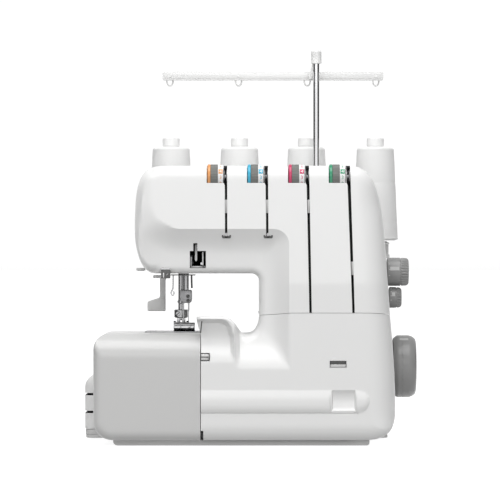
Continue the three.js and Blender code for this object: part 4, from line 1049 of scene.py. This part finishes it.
def add_dials():
    """Four dials, each with a coloured rim, a grooved grip and a white ring of digits."""
    digits = [digit_shape(str(n), 5.2) for n in range(10)]
    at = (0, DIAL_Y, DIAL_Z)
    rim = [(2.6, 0), (11.4, 0), (12.5, 0.25), (13, 0.9), (13, 2.9), (12.7, 3.3), (2.6, 3.3)]
    grip = [(2.6, 3.3), (12.3, 3.3, 0), (12.75, 3.7, 1), (12.75, 10.6, 1), (12.3, 11.0, 0), (2.6, 11.0)]
    ring = [(2.6, 11.0), (12.2, 11.0), (12.4, 11.3), (12.4, 16.2), (12.0, 16.5), (2.6, 16.5)]
    patch = [(u, v) for v in np.linspace(-2.7, 2.7, 7) for u in (-2.2, 2.2)]
    patch_faces = [(2 * k, 2 * k + 1, 2 * k + 3, 2 * k + 2) for k in range(6)]
    for i, (x, (name, colour)) in enumerate(zip(DIAL_X, RIMS.items())):
        dial = Form()
        for mat, (profile, steps) in enumerate(((rim, 96), (grip, 288), (ring, 96))):
            moved = [(r, x + h, *share) for r, h, *share in profile]
            dial.turned(moved, "x", at, steps, mat, ripple=(48, 0.32))
        for n, (points, faces) in enumerate(digits):
            wrapped(dial, points, faces, x + 13.75, 26 + 30 * (n - 4), 12.47, 2 if n == 4 else 3)
        wrapped(dial, patch, patch_faces, x + 13.75, 26, 12.44, 3)
        node = f"tension_dial_{i + 1}"
        dial.make(f"dial_{i + 1}", node, [colour, GRIP, PRINT_AND_GLINT, colour], "dial_" + name, [node])
        add_tension_unit(i)


def add_tension_unit(i):
    """The fixed spindle beside a dial, its two thread discs and spring, and the bridge across the slot."""
    dial, slot_x, bridge = DIAL_X[i], SLOT_TOP_X[i], BRIDGE_Z[i]
    down = (TOP_Z - bridge) / (TOP_Z - SLOT_FOOT_Z[i])
    guide = slot_x + (SLOT_FOOT_X[i] - slot_x) * down
    right = max(slot_x, guide) + 4
    at = (0, DIAL_Y, DIAL_Z)
    unit = Form().rod(2.1, "x", dial - 1.2, right, at)
    for gap, bow in ((-1.25, -1), (0.75, 1)):
        x = slot_x - 0.6 + gap
        lip = x + 0.35 * bow
        disc = [(2.1, x), (4, x + 0.25 * (bow < 0)), (6.4, x), (7.4, lip), (7.4, lip + 0.5), (6.3, x + 0.5),
                (2.1, x + 0.5)]
        unit.turned(disc, "x", at, 48)
    spring = []
    for t in np.linspace(0, 1, 50):
        a = 7 * math.pi * t
        spring.append((slot_x + 1.1 + 2.4 * t, DIAL_Y + 3.6 * math.cos(a), DIAL_Z + 3.6 * math.sin(a)))
    unit.pipe(spring, 0.4, steps=8)
    unit.block((right - 2, right), (DIAL_Y - 2, -82.5), (bridge, DIAL_Z + 2), bevel=0.4)
    front = FACE_Y + LEAN * (bridge + 7 - LEAN_Z) + 1.5
    unit.block((guide - 1.1, guide + 1.1), (front, -108), (bridge + 0.2, bridge + 14), mat=1, bevel=0.25)
    unit.block((guide - 4, right), (-109, -106), (bridge + 0.4, bridge + 13.8), mat=1, bevel=0.8)
    finishes = [DARK_STEEL_AND_SHADE, LIGHT_GREY]
    unit.make(f"tension_parts_{i + 1}", "frame", finishes, "ground_steel", [f"tension_unit_{i + 1}"])


# ------------------------------------------------------------------ sewing area and small fittings
def screw(form, at, radius, length, mat=0, slot_mat=1):
    """A slotted screw head that faces the operator."""
    x, y, z = at
    profile = [(0, y), (radius - 0.3, y), (radius, y + 0.3), (radius, y + length), (0, y + length)]
    form.turned(profile, "y", (x, 0, z), 28, mat)
    # The slot is a thin bar in slot_mat laid on the head; where it is black it is painted shade in the
    # groove.
    c, s = math.cos(0.7), math.sin(0.7)
    r, w = radius * 0.86, radius * 0.16
    groove = [(x + r * c - w * s, z + r * s + w * c), (x + r * c + w * s, z + r * s - w * c),
              (x - r * c + w * s, z - r * s - w * c), (x - r * c - w * s, z - r * s + w * c)]
    form.prism(groove, "xz", y - 0.04, y + 0.2, mat=slot_mat)


def add_stitch_plate():
    plate = Form().prism(rounded(-110, -51, -77.5, -14.5, (3,) * 4, 6), "xy", 115.6, 117.9, bevel=0.35)
    cuts = Form().prism(rounded(-72.5, -62.8, -46, -38.5, (1,) * 4, 4), "xy", 110, 120)
    for x0, x1 in ((-80, -73), (-68, -61)):
        for y0, y1 in ((-67, -46.8), (-37.6, -19)):
            cuts.prism(rounded(x0, x1, y0, y1, (0.8,) * 4, 3), "xy", 110, 120)
    fittings = Form().block((-108, -54), (-74, -70), (113, 115.5), bevel=0.4)
    fittings.block((-108, -54), (-18, -15), (113, 115.5), bevel=0.4)
    for x, y in ((-100, -70), (-100, -22)):
        cuts.rod(2.6, "z", 117.0, 120, (x, y, 0), chamfer=0.1)
        head = [(0, 116.7), (2.3, 116.7), (2.3, 117.4), (1.9, 117.7), (0, 117.7)]
        fittings.turned(head, "z", (x, y, 0), 24)
        # A black bar across the screw head: painted shade in its slot.
        fittings.block((x - 2, x + 2), (y - 0.3, y + 0.3), (117.5, 117.74), mat=1)
    mesh = carved(plate.mesh([NICKEL]), cuts)
    shade(mesh)
    mesh.materials.clear()
    mesh.materials.append(NICKEL)
    mesh.materials.append(DARK_STEEL_AND_SHADE)
    # Upright faces, the plate's edges and the walls of its openings, take the dark steel: painted shade along
    # the edges of the nickel plate.
    for face in mesh.polygons:
        face.material_index = abs(face.normal.z) < 0.5
    object_from(mesh, "stitch_plate", "frame", ["needle_plate"])
    fittings.make("stitch_plate_screws", "frame", [STEEL, BLACK_AND_SHADE], "ground_steel")


def add_foot():
    low = 118.05
    tip = [(-70, 121.4), (-67.5, 119.2), (-64, low)]
    tail = [(-27, low), (-22, 118.6), (-20, 120), (-20.4, 121.4)]
    toe_top = [(-62, 121.6), (-67, 123.2), (-69.5, 124)]
    sole = [*tip, *tail, (-52, 121.4), *toe_top]
    front = [*tip, (-46.8, low), (-46.8, 121.4), *toe_top]
    rear = [(-37, low), *tail, (-37, 121.4)]
    foot = Form()
    for outline, x0, x1, bevel in ((sole, -80, -72.3, 0.35), (sole, -62.5, -58, 0.35),
                                   (rear, -72.4, -62.4, 0.3), (front, -72.4, -62.4, 0.3)):
        foot.prism(outline, "yz", x0, x1, bevel=bevel)
    bridge = [(-55, 121.2), (-55.6, 124.6), (-54.4, 126.6), (-51, 126.8), (-50, 126), (-50, 121.2)]
    foot.prism(bridge, "yz", -80, -58, bevel=0.35)
    for x0, x1 in ((-80, -72.8), (-62.2, -58)):
        foot.block((x0, x1), (-50.2, -32), (121.2, 125.4), bevel=0.35)
    foot.block((-73.4, -72.4), (-55.9, -54.8), (121.4, 126.0), mat=1, bevel=0.1)
    ear = [(-31, 119.5), (-21, 119.5), (-22.4, 126.6), (-24.4, 128), (-27.6, 128), (-29.6, 126.6)]
    for x0, x1 in ((-81, -78.6), (-67.4, -65)):
        foot.prism(ear, "yz", x0, x1, bevel=0.3)
    foot.rod(1.2, "x", -81, -65, (0, PRESSER[1], 125.4), chamfer=0.2)
    foot.make("sewing_foot", "presser_foot", [NICKEL, DARK_STEEL_AND_SHADE], "plated_steel", ["presser_foot"])


def add_presser_bar():
    ankle = Form()
    collar = [(3.1, 131.2), (6.6, 131.2), (7.4, 131.9), (7.4, 139.3), (6.7, 140), (3.1, 140)]
    ankle.turned(collar, "z", (*PRESSER, 0), 48)
    fork = [(-29.5, 134), (-29.5, 123), (-28.6, 122.4), (-23.4, 122.4), (-22.5, 123), (-22.5, 134)]
    ankle.prism(fork, "yz", -77.6, -73.9, bevel=0.4)
    ankle.prism(fork, "yz", -72.1, -68.4, bevel=0.4)
    ankle.block((-76, -70), (-29.2, -22.8), (128.6, 132), bevel=0.4)
    screw(ankle, (-76.2, -34.6, 135.6), 2.4, 2.4)
    ankle.rod(1.0, "y", -33, -29, (-76.2, 0, 135.6))
    ankle.make("foot_holder", "presser_bar", [NICKEL, BLACK_AND_SHADE], "plated_steel", ["presser_ankle"])
    bar = Form().rod(3, "z", 135.5, 250, (*PRESSER, 0), chamfer=0.5, steps=48)
    bar.make("presser_rod", "presser_bar", [NICKEL], "plated_steel", ["presser_bar"])


def add_needle_bar():
    x, y = NEEDLE
    bar = Form().rod(3, "z", 151.5, 262, (x, y, 0), chamfer=0.5, steps=48)
    bar.make("needle_rod", "needle_bar", [NICKEL], "plated_steel", ["needle_bar"])
    clamp = Form()
    body = [(-74, 150), (-72.6, 147.4), (-70, 147), (-63.5, 147), (-61.6, 148.6), (-61, 151), (-61, 159.5),
            (-62, 161), (-73, 161), (-74, 160)]
    clamp.prism(body, "xz", -48, -36, bevel=0.7)
    clamp.prism([(-73.4, 150.6), (-61.4, 150.6), (-61.4, 152.4), (-73.4, 152.4)], "xz", -48.5, -47, bevel=0.3)
    screw(clamp, (-65.4, -49.6, 154.3), 1.9, 2.2, mat=2)
    screw(clamp, (-65.4, -49.6, 149.9), 1.7, 2.2, mat=2)
    guide = [(-73.2, -48.4, 151.4), (-75.2, -49.4, 150.6), (-76.2, -49.6, 148.2), (-74.8, -49.4, 146.4),
             (-72.2, -49.0, 146.6), (-71.8, -48.6, 148.2)]
    clamp.pipe(guide, 0.5)
    clamp.make("needle_holder", "needle_bar", [DARK_STEEL_AND_SHADE, BLACK_AND_SHADE, MOTOR], "ground_steel", ["needle_clamp"])
    needle = [(0, 119.6), (0.22, 120.6), (0.42, 122.6), (0.5, 124), (0.5, 138), (0.72, 139.2), (0.9, 140),
              (0.9, 150.4), (0, 150.6)]
    for name, nx in (("left", x - 2.75), ("right", x + 2.75)):
        steel = Form().turned(needle, "z", (nx, y, 0), 20)
        steel.block((nx - 0.12, nx + 0.12), (y - 0.56, y - 0.4), (124.2, 137.6))
        steel.make(f"needle_{name}_ground", "needle_bar", [NICKEL], "plated_steel", [f"needle_{name}"])


def add_arm_guides():
    guides = Form().block((-92, -82.6), (-115, -103), (173.6, 182.9), bevel=0.5)
    guides.block((-92, -82.6), (-115.4, -104), (182.7, 184.2), mat=1, bevel=0.3)
    # A white strip on the block's front: a painted reflection on the metal.
    guides.block((-89.9, -88.9), (-115.5, -112), (174.4, 179.5), mat=2, bevel=0.2)
    screw(guides, (-85.6, -115.8, 177.8), 1.6, 1.0)
    guides.block((-83.5, -57.5), (-60, -30), (176.2, 177.2), bevel=0.2)
    hook = [(-80.8, 177), (-80.9, 166), (-81.2, 162), (-82.4, 160), (-83.2, 157.4), (-82.2, 155.2),
            (-80.4, 155.6), (-79.9, 157.6), (-80.6, 159.6)]
    guides.pipe([(x, -52, z) for x, z in hook], 0.8, mat=3)
    guides.pipe([(-61.6, -50, 177), (-61.4, -50, 168), (-61.2, -50, 162.8)], 1.0)
    guides.make("arm_thread_guides", "frame", [MOTOR, NICKEL, PRINT_AND_GLINT, STEEL], "ground_steel")
    notch = [(-119, -56), (-116, -58), (-116, -60), (-119, -62)]
    hood = [(-119, -70), (-110, -70), (-110, -50), (-119, -50), *notch]
    cutter = Form().prism(hood, "xy", 181.5, 184.2, bevel=0.4)
    cutter.block((-118, -111), (-66, -64.6), (180.6, 181.6), mat=1, bevel=0.2)
    cutter.make("thread_cutter_hood", "frame", [LIGHT_GREY, STEEL], "knob_grey", ["thread_cutter"])


def add_slot_guides():
    for name, x in (("left", -24.4), ("right", 18.8)):
        half = [(4.75, 216.4), (4.75, 221.4), (3.2, 221.5), (3.2, 217.6)]
        outline = [(x - 4.75, 216.4), (x - 3.9, 215.1), (x + 3.9, 215.1), *((x + u, z) for u, z in half)]
        outline += [(x - u, z) for u, z in half[:0:-1]]
        guide = Form().prism(outline, "xz", -118, -116.4, bevel=0.3)
        button = [(0, -118), (1.7, -118), (2.1, -117.4), (2.1, -109), (0, -109)]
        guide.turned(button, "y", (x, 0, 219.0), 24, mat=1)
        guide.block((x - 1.5, x + 1.5), (-118, -111.4), (215.2, 217.4), bevel=0.3)
        node = f"thread_guide_{name}"
        guide.make(node + "_bent", "frame", [MOTOR, NICKEL], "ground_steel", [node])


def add_take_up():
    """The guides in the small window, and the take-up lever that moves behind it."""
    pin = [(0, -103.2), (1.2, -103.2), (1.6, -102.6), (1.6, -86), (0, -86)]
    guides = Form().turned(pin, "y", (-50.2, 0, 189), 20)
    guides.block((-62, -46), (-100.5, -99.5), (184.6, 186.4), mat=1, bevel=0.3)
    guides.block((-49.6, -48.2), (-106, -99), (187, 201), mat=1, bevel=0.4)
    guides.block((-61.6, -60.8), (-106, -99), (186, 196), bevel=0.2)
    guides.make("take_up_guides", "frame", [STEEL, PRINT_AND_GLINT], "ground_steel")
    x, z = -22, 203
    blade_outline = [(x - 1, z - 5), (x - 1, z + 5), (x - 20, z + 5.6), (x - 34, z + 5.8), (x - 34, z + 2.4),
                     (x - 20, z + 1.4)]
    lever = Form().prism(blade_outline, "xz", -103.6, -101.6, bevel=0.3)
    finger = [(x - 35.2, z + 5.8), (x - 35.2, z - 10), (x - 34.6, z - 11.6), (x - 33.4, z - 11.6),
              (x - 32.8, z - 10), (x - 32.8, z + 5.8)]
    lever.prism(finger, "xz", -104, -101.4, mat=1, bevel=0.4)
    hub = [(0, -104), (5.4, -104), (6, -103.4), (6, -98), (3, -97.4), (3, -58), (0, -58)]
    lever.turned(hub, "y", (x, 0, z), 36)
    lever.make("thread_take_up", "take_up_lever", [STEEL, SPOOL], "ground_steel", ["take_up_lever"])


def add_lifter():
    x, z = -73, 190
    outline = [(x + 4, z + 5.6), (x - 4, z + 6), (x - 20, z - 6), (-96, 177.6), (-97.5, 174), (-97.5, 152.6),
               (-98.4, 151.4), (-110.2, 147.6), (-111, 146.2), (-111, 137.6), (-110.2, 136.8), (-92.1, 136.8),
               (-91.3, 137.6), (-91.3, 170.6), (-89.6, 173.6), (x - 16, z - 12), (x - 2, z - 6.6),
               (x + 4, z - 5.6)]
    lever = Form().prism(outline, "xz", 51.2, 55.2, bevel=0.8, segments=3)
    thumb = [(-110.4, 137.8), (-92.2, 137.8), (-92.2, 150.8), (-97.8, 150.8), (-110.4, 146.8)]
    lever.prism(thumb, "xz", 36, 51.4, bevel=0.8, segments=3)
    lever.prism(rounded(-105, -94, 172.6, 176, (1.2, 0.5, 0.5, 1.2), 4), "xz", 51.4, 55, bevel=0.5)
    hub = [(0, 36), (3.1, 36), (3.1, 51), (6.4, 51.2), (7, 51.8), (7, 55.9), (6.4, 56.5), (0, 56.5)]
    lever.turned(hub, "y", (x, 0, z), 48)
    lever.make("foot_lift_lever", "foot_lifter", [LIFT], "knob_grey", ["presser_foot_lifter"])


def add_cover_fittings():
    # The black face fills the recessed window: painted shade in the hole, above a light grey lower ledge.
    window = Form().prism(rounded(82.7, 99.0, 82.3, 88.3, (0.6,) * 4, 3), "xz", -125.4, -124.9)
    window.block((82.9, 98.8), (-126.3, -125.2), (85.4, 88.2), bevel=0.2)
    window.block((82.9, 98.8), (-126.9, -125.2), (82.3, 85.0), mat=1, bevel=0.35)
    window.make("feed_lever_window", "looper_cover", [WINDOW_SHADE, LIGHT_GREY], "window_plastic", ["feed_window"])
    upper = rounded(-50.4, -42.5, 93.0, 95.9, (0.3, 0.3, 1.3, 0.3), 4)
    lower = rounded(-50.4, -42.5, 89.2, 92.1, (0.3, 1.3, 0.3, 0.3), 4)
    catch = Form().prism(upper, "xz", -127.1, -122.5, bevel=0.4)
    catch.prism(lower, "xz", -126.4, -122.5, mat=1, bevel=0.4)
    catch.block((-48.4, -43.0), (-126.2, -122.6), (91.6, 93.4), mat=2)
    finishes = [WHITE, LIGHT_GREY, BLACK_AND_SHADE]
    catch.make("cover_release_button", "cover_catch", finishes, "white_casing", ["cover_catch"])
    outer = arc_points(-43.2, 94.9, 1.65, 90, 0, 5) + arc_points(-43.2, 90.1, 1.65, 0, -90, 5)
    inner = arc_points(-43.3, 90.2, 1.2, -90, 0, 5) + arc_points(-43.3, 94.8, 1.2, 0, 90, 5)
    rim = [(-50.5, 96.55), *outer, (-50.5, 88.45), (-50.5, 88.95), *inner, (-50.5, 96.0)]
    surround = Form().prism(rim, "xz", -127.35, -119)
    slash = [(-51.6, 117.4), (-50.4, 117.4), (-49.2, 129.6), (-50.2, 129.6)]
    surround.prism(slash, "xz", -127.9, -124, bevel=0.1)
    surround.make("release_surround", "looper_cover", [BLACK_AND_SHADE], "black_plastic")


def add_power():
    """The rocker switch and the mains inlet on the right side."""
    x, z = 147.5, 94
    side = [(x - 3.5, z - 8), (x + 3.5, z - 8.5), (x + 1.9, z - 3), (x + 1.5, z), (x + 0.9, z + 3),
            (x + 0.6, z + 8.5), (x - 3.5, z + 8)]
    rocker = Form().prism(side, "xz", 27, 43, bevel=0.4)
    rocker.block((x + 1.2, x + 2.35), (34.7, 35.3), (z - 6.6, z - 4.4), mat=1)
    rocker.make("power_rocker", "power_switch", [BLACK_AND_SHADE, PRINT_AND_GLINT], "black_plastic", ["power_switch"])
    socket = Form().prism(rounded(24.5, 51.5, 24.5, 51.5, (2,) * 4, 4), "yz", 136, 148.4, bevel=0.5)
    recess = Form().prism(rounded(28, 48, 28, 48, (1.5, 1.5, 4, 4), 4), "yz", 139, 160)
    cut_and_place(socket.mesh([BLACK_AND_SHADE]), "power_socket", "frame", "black_plastic", ["power_inlet"], recess)
    pins = Form()
    for y in (34, 42):
        pins.rod(1.6, "x", 138.8, 146.4, (0, y, 39), chamfer=0.5, steps=20)
    pins.make("power_pins", "frame", [CHROME], "plated_steel")


def dress_inner_parts():
    """The CAD nodes that stay, in finishes of their own."""
    finishes = {"main_frame": CAST, "main_shaft": STEEL, "shaft_bush": CAST, "machine_pulley": CAST,
                "motor_pulley": STEEL, "motor": MOTOR, "drive_belt": BELT, "upper_looper": CHROME,
                "lower_looper": CHROME, "upper_knife": STEEL, "lower_knife": STEEL, "feed_dogs": STEEL}
    for name, finish in finishes.items():
        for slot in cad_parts[name].material_slots:
            slot.material = finish


add_camera()
add_world()
add_light("softbox", (-0.1, -0.75, 2.1), (0, -0.05, 0.15), (2.0, 1.6), 34)
add_light("front", (-0.15, -2.9, 1.05), (0, 0, 0.16), (2.4, 1.0), 11)
add_floor()
add_flags()
joint_line = seam_line()
add_head(joint_line)
add_rear()
add_looper_cover(joint_line)
add_side_cover()
add_column()
add_housing()
add_base()
add_stand()
add_pole()
add_hand_wheel()
add_knob("stitch_length_knob", "stitch_length_dial", STITCH_KNOB_Z, 14.9, 144.2, 167, 8, 30)
add_knob("differential_feed_knob", "differential_feed_dial", FEED_KNOB_Z, 11, 146.2, 159.6, 5, 24)
add_dials()
add_stitch_plate()
add_foot()
add_presser_bar()
add_needle_bar()
add_arm_guides()
add_slot_guides()
add_take_up()
add_lifter()
add_cover_fittings()
add_power()
dress_inner_parts()
bpy.context.scene.view_settings.view_transform = "Standard"
